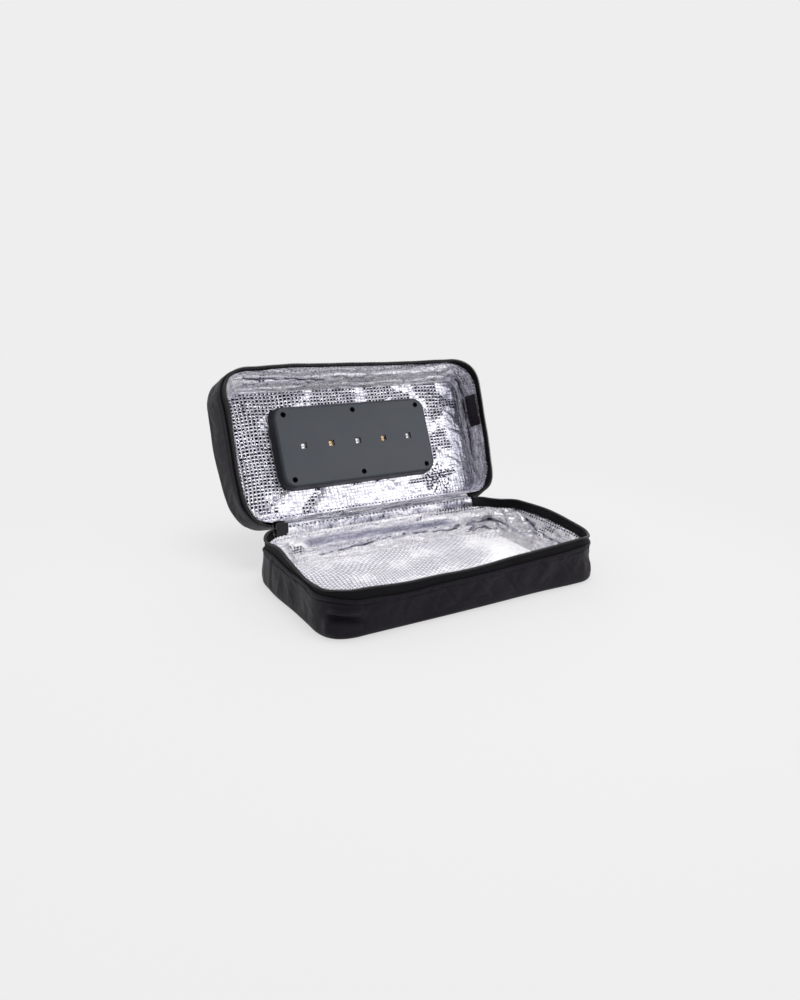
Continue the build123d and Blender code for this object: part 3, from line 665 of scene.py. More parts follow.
# Rolls along the wall: how far down they lie, how broad they are and how high, in millimetres. Then the
# bunches where the film was gathered by the sewing: x, y, reach and height.
base_rolls = (
    (0.05, 0.035, 0.5),
    (0.2, 0.05, -0.8),
    (0.36, 0.06, 1.0),
    (0.52, 0.05, -0.7),
    (0.66, 0.05, 0.8),
    (0.8, 0.025, -0.7),
)
base_bunches = ((84, 54, 13, 3.4), (101, 34, 9, 2.0), (-86, 54, 7, 1.6), (20, 57, 16, 1.2))

# Long folds, laid out flat along the wall and down it: start, end, breadth and height in millimetres.
base_creases = (
    ((238, 4), (212, 13), 2.6, 3.4),
    ((258, 14.5), (222, 12.3), 1.2, -3.2),
    ((222, 12.3), (204, 15), 1.4, -4.0),
    ((214, 16), (208, 22), 1.2, -2.6),
    ((200, 8), (189, 0.5), 2.6, 5.5),
    ((207, 6), (196, 12), 2.4, 3.2),
    ((192, 2), (183, 6.5), 1.2, -3.2),
    ((183, 6.5), (156, 10.2), 1.2, -3.4),
    ((156, 10.2), (126, 12.6), 1.2, -2.8),
    ((182, 2.5), (130, 6), 2.6, 2.4),
    ((190, 13), (136, 16), 2.6, 2.0),
    ((244, 19.6), (196, 19.4), 1.1, -2.4),
    ((250, 10), (286, 8), 2.2, 1.7),
    ((256, 16), (306, 13), 1.3, -1.9),
    ((-232, 3), (-238, 20), 2.2, 2.2),
    ((-244, 12), (-284, 8), 2.0, 1.8),
    ((-256, 17), (-300, 14), 1.3, -1.6),
)


def calculate(tree, operation, first, second=0.0, third=0.0):
    """A sum or other step worked out by a material."""
    return add_node(tree, "ShaderNodeMath", {0: first, 1: second, 2: third}, operation=operation).outputs[0]


def ramp_between(tree, value, low, high, start=0.0, end=1.0):
    """An easy ramp from start to end as the value goes from low to high."""
    return add_node(tree, "ShaderNodeMapRange", {"Value": value, "From Min": low, "From Max": high, "To Min": start,
                                                 "To Max": end}, interpolation_type="SMOOTHSTEP").outputs[0]


def pressed_grid(tree, flat, size, stagger, dash_depth, line_depth, line_width, line_fade):
    """The grid of pressed cells, drawn on the flat film as painted groove shade: dark dashes of uneven length in the
    cells' grooves where the pressing is fresh, and dark lines between the cells that may fade where it isn't. The
    pressed share is also low where the film is left bright as a painted highlight."""
    shaken = add_node(tree, "ShaderNodeTexNoise", {"Vector": flat, "Scale": 700.0, "Detail": 1.0})
    loose = add_node(tree, "ShaderNodeVectorMath", {0: shaken.outputs["Color"], 1: (0.00018, 0.00018, 0)},
                     operation="MULTIPLY")
    flat = add_node(tree, "ShaderNodeVectorMath", {0: flat, 1: loose.outputs[0]}, operation="ADD").outputs[0]
    apart = add_node(tree, "ShaderNodeSeparateXYZ", {0: flat})
    column = calculate(tree, "DIVIDE", apart.outputs[0], size[0])
    row = calculate(tree, "DIVIDE", apart.outputs[1], size[1])
    column_number = calculate(tree, "FLOOR", column)
    row = calculate(tree, "MULTIPLY_ADD", column_number, stagger, row)
    cell = add_node(tree, "ShaderNodeCombineXYZ", {0: column_number, 1: calculate(tree, "FLOOR", row)})
    chance = add_node(tree, "ShaderNodeTexWhiteNoise", {"Vector": cell.outputs[0]})
    chances = add_node(tree, "ShaderNodeSeparateXYZ", {0: chance.outputs["Color"]}).outputs
    from_side = calculate(tree, "ABSOLUTE", calculate(tree, "SUBTRACT", calculate(tree, "FRACT", column), 0.5))
    up = calculate(tree, "FRACT", row)
    past_end = calculate(tree, "SUBTRACT", from_side, calculate(tree, "MULTIPLY_ADD", chances[0], 0.16, 0.24))
    past_top = calculate(tree, "SUBTRACT", up, calculate(tree, "MULTIPLY_ADD", chances[1], 0.26, 0.42))
    dash = calculate(tree, "MULTIPLY", ramp_between(tree, past_end, -0.05, 0.05, 1, 0),
                     ramp_between(tree, past_top, -0.05, 0.08, 1, 0))
    fresh_unless_lit = add_node(tree, "ShaderNodeAttribute", attribute_name="pressed").outputs["Fac"]
    fresh_unless_lit = calculate(tree, "MULTIPLY_ADD", chances[2], 0.4, fresh_unless_lit)
    dash = calculate(tree, "MULTIPLY", dash, ramp_between(tree, fresh_unless_lit, 0.5, 0.8, 0, dash_depth))
    to_row = calculate(tree, "ABSOLUTE", calculate(tree, "SUBTRACT", up, 0.5))
    line = calculate(tree, "MAXIMUM", ramp_between(tree, from_side, 0.48 - line_width, 0.49, 0, line_depth),
                     ramp_between(tree, to_row, 0.48 - line_width, 0.49, 0, line_depth))
    kept = ramp_between(tree, fresh_unless_lit, 0.2, 0.9, 1 - line_fade, 1)
    return calculate(tree, "MAXIMUM", dash, calculate(tree, "MULTIPLY", line, kept))


def foil_material(name, bright, dark, roughness, metallic, grid, creases, painted_grey, broken, crushed):
    """Bare metallised film whose colour carries painted shade and painted reflection: dark dashes and lines in the
    pressed cells, the marks and painted shade that the mesh carries, dark patches, fine dark grain and streaks, and
    thin dark lines along fine creases that run mostly along the film. painted_grey is how dark the painted patches
    are, broken how deep the creases are in the bump, and crushed how much the painted shade of small folds marks the
    film all over."""
    made = new_material(name, bright, roughness, Metallic=metallic)
    tree = made.node_tree
    shader = tree.nodes["Principled BSDF"]
    flat = add_node(tree, "ShaderNodeUVMap", uv_map="cut").outputs["UV"]
    # The mesh's marks and painted crease shade, and the cells' painted groove shade.
    marks_and_shade = add_node(tree, "ShaderNodeAttribute", attribute_name="marks_and_shade").outputs["Fac"]
    pressed = pressed_grid(tree, flat, *grid)
    shade = calculate(tree, "MAXIMUM", marks_and_shade, pressed)
    stretched = add_node(tree, "ShaderNodeMapping", {"Vector": flat, "Scale": creases}).outputs[0]
    # Dark patches, painted for the darker reflections of the crumpled film.
    fine = add_node(tree, "ShaderNodeTexNoise", {"Vector": stretched, "Scale": 1.0, "Detail": 6.0,
                                                 "Roughness": 0.62, "Distortion": 0.7})
    shade = calculate(tree, "ADD", shade, ramp_between(tree, fine.outputs["Fac"], 0.56, 0.67, 0, painted_grey))
    # Fine dark grain, painted as the shade of small crinkles.
    grain = add_node(tree, "ShaderNodeTexNoise", {"Vector": flat, "Scale": 720.0, "Detail": 3.0, "Roughness": 0.65})
    shade = calculate(tree, "ADD", shade, ramp_between(tree, grain.outputs["Fac"], 0.4, 0.66, 0, crushed))
    # Fine streaks along the film, painted as shade.
    drawn = add_node(tree, "ShaderNodeMapping", {"Vector": flat, "Scale": (45, 1250, 1)}).outputs[0]
    lines = add_node(tree, "ShaderNodeTexNoise", {"Vector": drawn, "Scale": 1.0, "Detail": 2.0})
    shade = calculate(tree, "ADD", shade, ramp_between(tree, lines.outputs["Fac"], 0.45, 0.65, 0, 0.6 * crushed))
    rubbed = add_node(tree, "ShaderNodeTexNoise", {"Vector": flat, "Scale": 160.0, "Detail": 6.0})
    tree.links.new(ramp_between(tree, rubbed.outputs["Fac"], 0.3, 0.7, roughness * 0.75, roughness * 1.5),
                   shader.inputs["Roughness"])
    folds = add_node(tree, "ShaderNodeTexNoise", {"Vector": stretched, "Scale": 0.45, "Detail": 5.0,
                                                  "Roughness": 0.7, "Distortion": 1.2})
    # sharp is near nothing along the fold valleys: it makes the large bump, and thin dark lines there as painted
    # crease shade.
    sharp = calculate(tree, "ABSOLUTE", calculate(tree, "SUBTRACT", folds.outputs["Fac"], 0.5))
    shade = calculate(tree, "ADD", shade, ramp_between(tree, sharp, 0.0, 0.028, 1.6 * crushed, 0))
    # The painted shade takes the film from bright through the grey to the dark colour.
    tone = add_node(tree, "ShaderNodeValToRGB", {"Fac": shade})
    tone.color_ramp.elements[0].position = 0.05
    tone.color_ramp.elements[0].color = (*bright, 1)
    tone.color_ramp.elements[1].position = 0.9
    tone.color_ramp.elements[1].color = (*dark, 1)
    tone.color_ramp.elements.new(0.45).color = painted_shade_grey
    tree.links.new(tone.outputs["Color"], shader.inputs["Base Color"])
    large = add_node(tree, "ShaderNodeBump", {"Height": sharp, "Strength": broken, "Distance": 3 * mm})
    small = add_node(tree, "ShaderNodeBump", {"Height": pressed, "Strength": 0.4, "Distance": 0.3 * mm,
                                              "Normal": large.outputs["Normal"]}, invert=True)
    tree.links.new(small.outputs["Normal"], shader.inputs["Normal"])
    return made


wall_foil = foil_material("wall_foil", (1.0, 0.985, 1.0), (0.02, 0.019, 0.026), 0.25, 0.5,
                          ((2.6 * mm, 1.9 * mm), 0, 0.8, 0.1, 0.1, 0), (120, 480, 1), 0.1, 0.3, 0.27)
base_film = foil_material("base_film", (1.0, 0.985, 1.0), (0.02, 0.019, 0.026), 0.22, 0.68,
                          ((2.6 * mm, 1.9 * mm), 0, 0.8, 0.1, 0.1, 0), (120, 480, 1), 0.06, 0.5, 0.12)


def pillow_at(along, down, stagger=0.0):
    """Height of the pressed cells on the flat film, from nothing to one."""
    column = along / cell_long
    row = down / cell_short + stagger * math.floor(column)
    return abs(math.sin(math.pi * column)) ** 0.5 * abs(math.sin(math.pi * row)) ** 0.5


def zigzag(distance, pitch):
    """Flat faces and sharp edges across a distance, from nothing to one."""
    return abs(distance / pitch % 1 - 0.5) * 2


def crumple(along, down, seed):
    """Film that was squeezed, mostly across its run: the height of its facets in millimetres, and how near its
    sharp valleys lie."""
    along, down = along / mm, down / mm
    bend = noise.noise_vector(Vector((along / 19, down / 9, seed)))
    fine = noise.noise_vector(Vector((along / 6.5, down / 3.2, seed)))
    some = smooth(noise.noise(Vector((along / 15, down / 12, seed + 5))), -0.35, 0.3)
    other = smooth(noise.noise(Vector((along / 21, down / 8, seed + 9))), -0.3, 0.35)
    folds = (
        (zigzag(down + 0.16 * along + 4.5 * bend.x, 8.5), 0.75 * (0.4 + 0.6 * some)),
        (zigzag(down - 0.31 * along + 4 * bend.y + 0.6 * fine.x, 5.2), 0.6 * other),
        (zigzag(along + 0.5 * down + 6 * bend.z + fine.y, 12), 0.55 * some),
        (zigzag(along - 0.9 * down + 4 * bend.x + fine.z, 6.5), 0.4 * other),
        (zigzag(down + 0.1 * along + 2.2 * fine.x + 2 * bend.y, 2.7), 0.4 * (0.35 + 0.65 * some)),
    )
    height = sum(fold * size for fold, size in folds)
    return height, max((1 - smooth(fold, 0.03, 0.17)) * smooth(size, 0.15, 0.6) for fold, size in folds)


def rolls_at(along, share, rolls, seed):
    """Height of the rolls along a wall in millimetres. They wander a little up and down."""
    drift = share + 0.16 * noise.noise(Vector((along / (31 * mm), share * 2, seed)))
    return sum(
        size * math.exp(-(((drift - middle) / width) ** 2))
        * (1 + 1.8 * noise.noise(Vector((along / (24 * mm), middle * 31, seed))))
        for middle, width, size in rolls
    )


def keep_film(bm, film, whole=1e3):
    """Keeps where each point lies on the flat film, how well the cells show there, and how dark its marks and painted
    shade make it. whole is the length after which a closed band meets itself."""
    bm.verts.index_update()
    fresh_unless_lit = bm.verts.layers.float.new("pressed")
    dark = bm.verts.layers.float.new("marks_and_shade")
    flat = bm.loops.layers.uv.new("cut")
    for vert, (_, _, pressed, marks_and_shade) in zip(bm.verts, film):
        vert[fresh_unless_lit] = max(0.0, min(1.0, pressed))
        vert[dark] = max(0.0, min(1.0, marks_and_shade))
    for face in bm.faces:
        start = film[face.verts[0].index][0]
        for loop in face.loops:
            along, down, _, _ = film[loop.vert.index]
            loop[flat].uv = (along - whole * round((along - start) / whole), down)


def face_inward(bm):
    """Turns a lining's faces to the inside of the pouch."""
    bmesh.ops.recalc_face_normals(bm, faces=bm.faces)
    face = max(bm.faces, key=lambda each: each.calc_center_median().x)
    if face.normal.x > 0:
        bmesh.ops.reverse_faces(bm, faces=bm.faces)
    bm.normal_update()


def crease_at(point, start, end, breadth):
    """One on a crease, falling to nothing beside it."""
    start, end = Vector((*start, 0)) * mm, Vector((*end, 0)) * mm
    run = end - start
    share = max(0.0, min(1.0, (point - start).dot(run) / run.length_squared))
    return math.exp(-(((point - start - run * share).length / (breadth * mm)) ** 2))


def base_marks(point, down):
    """The rear wall's long soft roll, the crushed film under it and the smooth foot that lies on the mat: how lively
    the film is there, and how dark. The roll is painted grey as shade, the crushed film gets dark specks painted as
    the shade of its crinkles, and the foot a row of dark ticks. down is in millimetres."""
    x, y, _ = point / mm
    rear = smooth(y, 38, 47)
    sag = 1.2 * noise.noise(Vector((x / 26, 3, 2))) + 0.02 * x
    roll = math.exp(-(((down - 7.6 - sag) / 2.9) ** 4)) * smooth(x, -76, -68) * (1 - smooth(x, 44, 64)) * rear
    line = 0.16 * noise.noise(Vector((x / 30, down / 0.7, 4)))
    foot = smooth(down, 13.6, 14.8) * rear * smooth(x, -90, -78) * (1 - smooth(x, 50, 66))
    ticks = 0.3 * (x / 2.1 % 1 < 0.22) * smooth(noise.noise(Vector((x / 5, down / 3, 6))), -0.2, 0.2) * foot
    crushed = math.exp(-(((down - 12.4 - sag) / 1.5) ** 2)) * math.exp(-(((x + 12) / 30) ** 2)) * rear
    specks = 0.95 * smooth(noise.noise(Vector((x / 1.3, down / 0.9, 8))), 0.05, 0.25) * crushed
    dark = max((0.33 + line + 0.12 * smooth(down, 4, 9)) * roll, specks, ticks)
    return 1 - 0.8 * max(roll, foot) * (1 - crushed), dark


def lid_marks(point, down):
    return 1, 0


def foil_wall(bm, shares, depth, rolls, bunches, creases, seed, worn, calm, painted_grey, marks_at):
    """Rolls, creases and presses a wall of film. shares gives how far down the wall each point lies, and depth is the
    wall's height in metres. painted_grey is how grey its right end is painted, as painted shade, and marks_at gives
    the wall's own marks and painted shade."""
    film = []
    moves = []
    for vert in bm.verts:
        share = shares(vert.co)
        foot, way = outward(vert.co)
        along = around(foot, way, vert.co.x)
        down = share * depth
        held = math.sin(math.pi * max(0.0, min(1.0, share))) ** 0.7
        turned = abs(way.x * way.y) * 2
        gathered = sum(bump_at(vert.co, x, y, reach) * size for x, y, reach, size in bunches)
        bunched = gathered * (zigzag(down / mm + 0.45 * along / mm + 3 * noise.noise(vert.co / (7 * mm)), 9) - 0.2)
        shown = smooth(noise.noise(vert.co / (10 * mm) + Vector((0, seed, 4))), worn, worn + 0.3)
        rolled = rolls_at(along, share, rolls, seed) * (1 - 0.6 * turned)
        broken, valley = crumple(along, down, seed)
        lively, dark = marks_at(vert.co, down / mm)
        shown *= lively**2
        stitch = (1 - smooth(abs(along / cell_long % 1 - 0.5), 0.1, 0.2)) * (abs(share - 0.055) < 0.012)
        speck = (1 - smooth(abs(along / cell_long % 1 - 0.5), 0.16, 0.26)) * (abs(share - 0.86) < 0.014)
        patch = 0.1 * smooth(noise.noise(Vector((along / (9 * mm), down / (3.5 * mm), seed + 3))), 0.05, 0.5)
        pillow = pillow_at(along, down)
        bent = Vector((along, down, 0)) + 1.6 * mm * noise.noise_vector(Vector((along / (9 * mm), down / (5 * mm), 2)))
        long_folds = sum(size * crease_at(bent, start, end, breadth) for start, end, breadth, size in creases)
        # Thin cores of the folds that dip: painted dark as crease shade.
        core = max(crease_at(bent, start, end, 0.45 * breadth) for start, end, breadth, size in creases if size < 0)
        moves.append(rolled * lively + broken * calm * lively * (0.25 + 0.75 * held) + bunched * held
                     + long_folds * smooth(share, 0.03, 0.3) + 0.22 * pillow * shown)
        near_rim = (1 - smooth(share, 0.08, 0.16)) * smooth(vert.co.x, 20 * mm, 60 * mm)
        seam = 0.75 * (1 - smooth(abs(share - 0.94), 0.012, 0.035)) * smooth(vert.co.x, 88 * mm, 98 * mm)
        # The last value holds marks and painted shade: stitch dots, a row of specks and random patches are marks; the
        # fold valleys, crease cores, a seam line and the grey right end are painted shade, with the wall's own marks.
        film.append((along, down, max(shown * held, near_rim),
                     max(0.75 * stitch, 0.8 * speck * (shown > 0.2), patch * held * lively, dark,
                         0.3 * valley * calm * held * lively,
                         0.9 * core * held, 2.2 * painted_grey * seam)
                     + painted_grey * smooth(share, 0.05, 0.12) * smooth(vert.co.x, 84 * mm, 100 * mm)))
    keep_film(bm, film, whole_way)
    for vert, move in zip(bm.verts, moves):
        vert.co += vert.normal * (move + 0.2) * 0.7 * mm


def place_base_foil(foot, way, row):
    share, z = row
    scallop = 0.9 * mm * abs(math.sin(math.pi * around(foot, way, foot.x + way.x) / cell_long)) * (share == 0)
    lift = waves_at(foot + way * corner_radius, edge_waves) * max(0.0, 1 - share)
    drop = 2.7 * mm * smooth(foot.x + way.x * corner_radius, 50 * mm, 100 * mm) * max(0.0, 1 - share)
    rim = on_base(foot, way, foil_inset, z + lift + scallop - drop)
    floor = Vector((foot.x * floor_core_x / core_x, foot.y * floor_core_y / core_y, z)) + way * floor_radius
    return rim.lerp(floor, min(1.0, share) ** 1.35) - way * flange_width * max(0.0, share - 1)


def base_foil_share(point):
    return 1 - max(0.0, min(1.0, (point.z - floor_z) / (foil_top - floor_z))) ** (1 / 1.4)


base_foil_rows = [(i / base_wall_steps, floor_z + (foil_top - floor_z) * (1 - i / base_wall_steps) ** 1.4)
                  for i in range(base_wall_steps + 1)]
base_foil_rows += [(1 + i / 3, floor_z) for i in range(1, 4)]

bm = bmesh.new()
draw_wall(bm, plan_loop(bm, foil_spacing), base_foil_rows, place_base_foil)
face_inward(bm)
foil_wall(bm, base_foil_share, 25 * mm, base_rolls, base_bunches, base_creases, 2.7, 0.3, 1.1, 0, base_marks)
# The film stays inside the zip tape that is sewn behind it along the front.
for vert in bm.verts:
    vert.co.y = max(vert.co.y, foil_inset - half_width)
base_foil = finish_piece("base_foil", bm, base_film)
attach(base_foil, "base")
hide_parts("base_lining", "base_foam")

# ---------------------------------------------------------------- floor foil
# A mat of the same film, pressed with close rows of cells that wander where the mat was stretched. It lies on
# the stiff board and on the foot of the walls. The lines between its cells are painted groove shade; they fade out
# at the right front, which is left bright as a painted highlight, and the mat's edge is painted dark as shade.
mat_margin = 2.5 * mm
mat_half_x = floor_core_x + floor_radius - mat_margin
mat_half_y = floor_core_y + floor_radius - mat_margin
mat_radius = floor_radius - mat_margin
mat_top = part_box("base_floor_mat")[1].z
mat_cell_x = 2.5 * mm
mat_cell_y = 3.5 * mm
mat_spacing = 0.5 * mm
mat_relief = 0.3 * mm

mat_foil = foil_material("mat_foil", (0.99, 0.98, 1.0), (0.13, 0.115, 0.18), 0.3, 0.12,
                         ((mat_cell_x, mat_cell_y), 0.5, 0.15, 0.85, 0.17, 0.9), (160, 160, 1), 0.05, 0.03, 0.03)


def inside_out(point, half_x, half_y, radius):
    """How far a point lies outside a rounded rectangle, and the nearest point of its edge."""
    foot = Vector((max(radius - half_x, min(half_x - radius, point.x)),
                   max(radius - half_y, min(half_y - radius, point.y)), 0))
    away = Vector((point.x, point.y, 0)) - foot
    return away.length - radius, foot + away.normalized() * radius


def rounded_sheet(bm, half_x, half_y, radius, spacing):
    """A flat sheet of even squares, cut to a rounded rectangle."""
    bmesh.ops.create_grid(bm, x_segments=round(2 * half_x / spacing), y_segments=round(2 * half_y / spacing),
                          size=1)
    for vert in bm.verts:
        vert.co = Vector((vert.co.x * half_x, vert.co.y * half_y, 0))
    beyond = [v for v in bm.verts if inside_out(v.co, half_x, half_y, radius)[0] > spacing / 2]
    bmesh.ops.delete(bm, geom=beyond, context="VERTS")
    for vert in bm.verts:
        if vert.is_boundary:
            vert.co = inside_out(vert.co, half_x, half_y, radius)[1]


bm = bmesh.new()
rounded_sheet(bm, mat_half_x, mat_half_y, mat_radius, mat_spacing)
film = []
for vert in bm.verts:
    x, y, _ = vert.co / mm
    drift_x = 5 * noise.noise(Vector((x / 45, y / 30, 1)))
    drift_y = 6 * noise.noise(Vector((x / 38, y / 38, 7)))
    along, down = (x + drift_x) * mm, (y + drift_y) * mm
    column = along / mat_cell_x
    row = down / mat_cell_y + 0.5 * math.floor(column)
    pillow = (abs(math.sin(math.pi * column)) * abs(math.sin(math.pi * row))) ** 0.6
    waves = noise.noise(Vector((x / 32, y / 32, 3))) + 0.3 * noise.noise(Vector((x / 12, y / 12, 5)))
    edge = smooth(-inside_out(vert.co, mat_half_x, mat_half_y, mat_radius)[0], 0, 2.5 * mm)
    vert.co.z = mat_top + mat_relief * (pillow - 1) + (0.3 * waves * edge - 0.6 * (1 - edge)) * mm
    # The pressed share, with the grid's painted shade faded out at the right front as a painted highlight; the last
    # value paints the edge dark as shade.
    fresh_unless_lit = 0.55 + 0.5 * noise.noise(Vector((x / 25, y / 18, 11))) - 0.75 * smooth(x - 0.25 * y, 38, 66) * (1 - 0.7 * smooth(y, 18, 38))
    film.append((along, down, fresh_unless_lit, 0.6 * (1 - smooth(edge, 0.0, 0.3))))
keep_film(bm, film)
mat_piece = finish_piece("floor_foil", bm, mat_foil)
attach(mat_piece, "base")
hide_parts("base_floor_mat")

# ---------------------------------------------------------------- lid cover
# The same black polyester, deeper than the base and softer. It is drawn closed over the base, then turned
# open about the hinge. A crowned back panel is sewn to the wall band.
closed_angle = math.radians(hinge_joint["range_deg"][1])
opening = Matrix.Translation(hinge) @ Matrix.Rotation(-closed_angle, 4, "X") @ Matrix.Translation(-hinge)
rim_gap = 1.6 * mm
lid_rim = base_rim + rim_gap
lid_fold = lid_rim + 7 * mm
lid_top = lid_rim + 35 * mm
lid_edge_radius = 5 * mm
lamp_middle = Vector((-4.9, 0.8, 0)) * mm
lamp_back_x = 65.5 * mm
lamp_back_y = 29.5 * mm
lid_hem_low = lid_fold + fold_inset / 2

# Where the lid's wall bulges near its zip and near its back, as for the base.
rim_bulges = (
    (110, -28, 36, 4.4),
    (110, 8, 18, 1.9),
    (108, 42, 12, -1.5),
    (92, -57, 14, -0.9),
    (-58, -57, 30, 1.2),
    (-104, -51, 15, 1.7),
    (-110, 54, 14, -1.2),
)
back_bulges = (
    (-110, -8, 36, 2.6),
    (-110, 44, 17, -1.7),
    (110, -20, 30, 1.5),
    (105, -50, 30, 1.6),
    (-106, -48, 15, 0.6),
)


def on_lid(foot, way, inset, z):
    """A point of the lid's wall while shut, with the wall's bulges."""
    point = on_plan(foot, way, inset, z)
    upper = smooth(z, lid_rim + 8 * mm, lid_top - 12 * mm)
    return point + way * (waves_at(point, back_bulges) * upper + waves_at(point, rim_bulges) * (1 - upper))


def lid_wrinkle(point):
    """The lid wall's swells, fuller at the front and the two ends than at the hinge."""
    full = 1.3 * (1 - smooth(point.y, 20 * mm, 50 * mm)) + 1.2 * bump_at(point, 33, -57, 30)
    return (soft_swell(point, 11.3) * 1.1 + full) * mm


def place_lid_cover(foot, way, row):
    inset, z, shrink = row
    lifted = z + edge_lift(foot + way * corner_radius) * 0.4 * (1 - smooth(z, lid_fold, lid_fold + 12 * mm))
    point = on_lid(foot, way, inset, lifted)
    point.x *= shrink
    point.y *= shrink
    if row in lid_outer_rows:
        point += way * lid_wrinkle(point) * wall_share(z, lid_fold + fold_inset, lid_top)
        point += way * welt(lid_fold + stitch_drop - z)
    if row in lid_back_rows:
        held = smooth((point - lamp_middle).length, 34 * mm, 60 * mm) * smooth(inset + (1 - shrink), 0, 0.4)
        crown = 1.4 + 1.1 * noise.noise(Vector((point.x / (40 * mm), point.y / (30 * mm), 2)))
        point.z += crown * held * mm
    return point


def upright(rows, shrink=1.0):
    return [(inset, z, shrink) for inset, z in rows]


lid_outer_rows = upright(line_rows((0, lid_fold + fold_inset / 2), (0.2 * mm, lid_fold + 5 * mm), 7))
lid_outer_rows += upright(line_rows((0.2 * mm, lid_fold + 5 * mm), (0, lid_top - lid_edge_radius), 12))
lid_back_rows = [(lid_edge_radius, lid_top, 1 - i / 24) for i in range(1, 24)]
lid_rows = upright([(fold_inset, lid_fold + fold_inset / 2 + hem_depth * i / 4) for i in (4, 3, 2, 1)])
lid_rows += upright(arc_rows((fold_inset / 2, lid_hem_low), fold_inset / 2, 0, -180, 5))
lid_rows += lid_outer_rows
lid_rows += upright(arc_rows((lid_edge_radius, lid_top - lid_edge_radius), lid_edge_radius, 180, 90, 5)[1:])
lid_rows += lid_back_rows

bm = bmesh.new()
last = draw_wall(bm, plan_loop(bm, wall_spacing), lid_rows, place_lid_cover)
bmesh.ops.contextual_create(bm, geom=last)
bmesh.ops.recalc_face_normals(bm, faces=bm.faces)
bmesh.ops.transform(bm, matrix=opening, verts=bm.verts)
lid_cover = finish_piece("lid_cover", bm, outer_cloth)


def held_on_lid(point):
    """Held from the zip to past the stitches, behind the hinge, and over the lamp."""
    shut = opening.inverted() @ point
    lamp_near = 1 - smooth(inside_out(shut - lamp_middle, lamp_back_x, lamp_back_y, 5 * mm)[0], 2 * mm, 16 * mm)
    back = smooth(shut.z, lid_top - 4 * mm, lid_top - 0.5 * mm)
    behind = smooth(shut.y, half_width - 7 * mm, half_width - 3 * mm) * (1 - back)
    return max(1 - smooth(shut.z, lid_fold + 4 * mm, lid_fold + 9 * mm), back * max(lamp_near, 0.15), behind)


settle_cloth(lid_cover, held_on_lid, 0.012, 0.5, 2 * mm)
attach(lid_cover, "lid")
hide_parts("lid_shell", "lid_hem")

# ---------------------------------------------------------------- lid zip tape
# The zip's other half, which hangs from the lid's hem. Zipped shut, its teeth lie on those of the base.
lid_tape_low = lid_rim + 1.3 * mm
lid_tape_high = lid_fold + 7.5 * mm


def place_lid_tape(foot, way, row):
    inset, z = row
    share = 1 - smooth(z, lid_rim, lid_fold + 4 * mm)
    point = on_lid(foot, way, inset, z + edge_lift(foot + way * corner_radius) * share)
    point += way * 0.25 * mm * noise.noise(point / (12 * mm)) * share
    return drawn_to_hinge(point, share)


bm = bmesh.new()
draw_wall(bm, plan_loop(bm, tape_spacing), [(tape_inset, lid_tape_low - 0.6 * mm)] + line_rows(
    (tape_inset, lid_tape_low - 0.6 * mm), (tape_inset, lid_tape_high), 11), place_lid_tape)
bmesh.ops.delete(bm, geom=[f for f in bm.faces if at_hinge_gap(f)], context="FACES")
bmesh.ops.recalc_face_normals(bm, faces=bm.faces)
bmesh.ops.transform(bm, matrix=opening, verts=bm.verts)
lid_tape = finish_piece("lid_tape", bm, tape_cloth)
give_thickness(lid_tape, tape)
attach(lid_tape, "lid")
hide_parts("lid_zip_tape")

# ---------------------------------------------------------------- lid zip teeth
# The matching coil, set half a turn along so that the two mesh.
bm = bmesh.new()
add_bars(bm, distances_between(zip_start, zip_end, tooth_pitch), tooth_pitch / 2, tooth_size,
         lambda foot, way: place_lid_tape(foot, way, (tape_inset, lid_rim + tooth_size.z / 2)))
bmesh.ops.bevel(bm, geom=bm.edges, offset=tooth_bevel, segments=1, profile=0.5, affect="EDGES", material=-1)
bmesh.ops.transform(bm, matrix=opening, verts=bm.verts)
lid_teeth = finish_piece("lid_teeth", bm, nylon)
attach(lid_teeth, "lid")
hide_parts("lid_zip_coil")

# ---------------------------------------------------------------- lid hem stitches
# The same lockstitch, three millimetres above the lid's folded edge.


def place_lid_stitch(foot, way):
    z = lid_fold + stitch_drop
    lifted = z + edge_lift(foot + way * corner_radius) * 0.4 * (1 - smooth(z, lid_fold, lid_fold + 12 * mm))
    point = on_lid(foot, way, 0.35 * mm, lifted)
    return point + way * lid_wrinkle(point) * wall_share(z, lid_fold + fold_inset, lid_top)


bm = bmesh.new()
add_bars(bm, distances_between(-whole_way / 2, whole_way / 2, stitch_pitch), 0, stitch_size, place_lid_stitch)
bmesh.ops.bevel(bm, geom=bm.edges, offset=0.1 * mm, segments=1, profile=0.5, affect="EDGES", material=-1)
bmesh.ops.transform(bm, matrix=opening, verts=bm.verts)
lid_stitches = finish_piece("lid_stitches", bm, thread_dye)
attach(lid_stitches, "lid")

# ---------------------------------------------------------------- lid foil walls
# The lid's walls, lined as the base is, from under the zip tape in to the panel round the lamp. The front wall
# slopes most, and the film cuts across the corners.
lid_foil_rim = lid_rim + 5.5 * mm
panel_z = lid_rim + 22 * mm
panel_radius = 9 * mm
panel_half_x = half_length - 9 * mm
panel_half_y = half_width - 10 * mm
panel_shift = 4.5 * mm
panel_core_x = panel_half_x - panel_radius
panel_core_y = panel_half_y - panel_radius
lid_wall_steps = 44
lid_rolls = (
    (0.06, 0.045, 0.5),
    (0.22, 0.05, -0.6),
    (0.45, 0.15, 0.8),
    (0.72, 0.05, -0.6),
    (0.93, 0.04, -0.7),
)
lid_bunches = ((101, -50, 14, 2.2), (-103, 48, 10, 1.4), (108, 30, 12, 1.2))
lid_creases = (
    ((110, 12), (196, 15), 1.6, -1.8),
    ((118, 8), (176, 10), 2.2, 1.4),
    ((96, 3), (112, 16), 1.8, 1.6),
    ((-20, 5), (84, 7), 1.4, 1.1),
    ((-90, 6), (-26, 9), 1.4, -1.0),
)


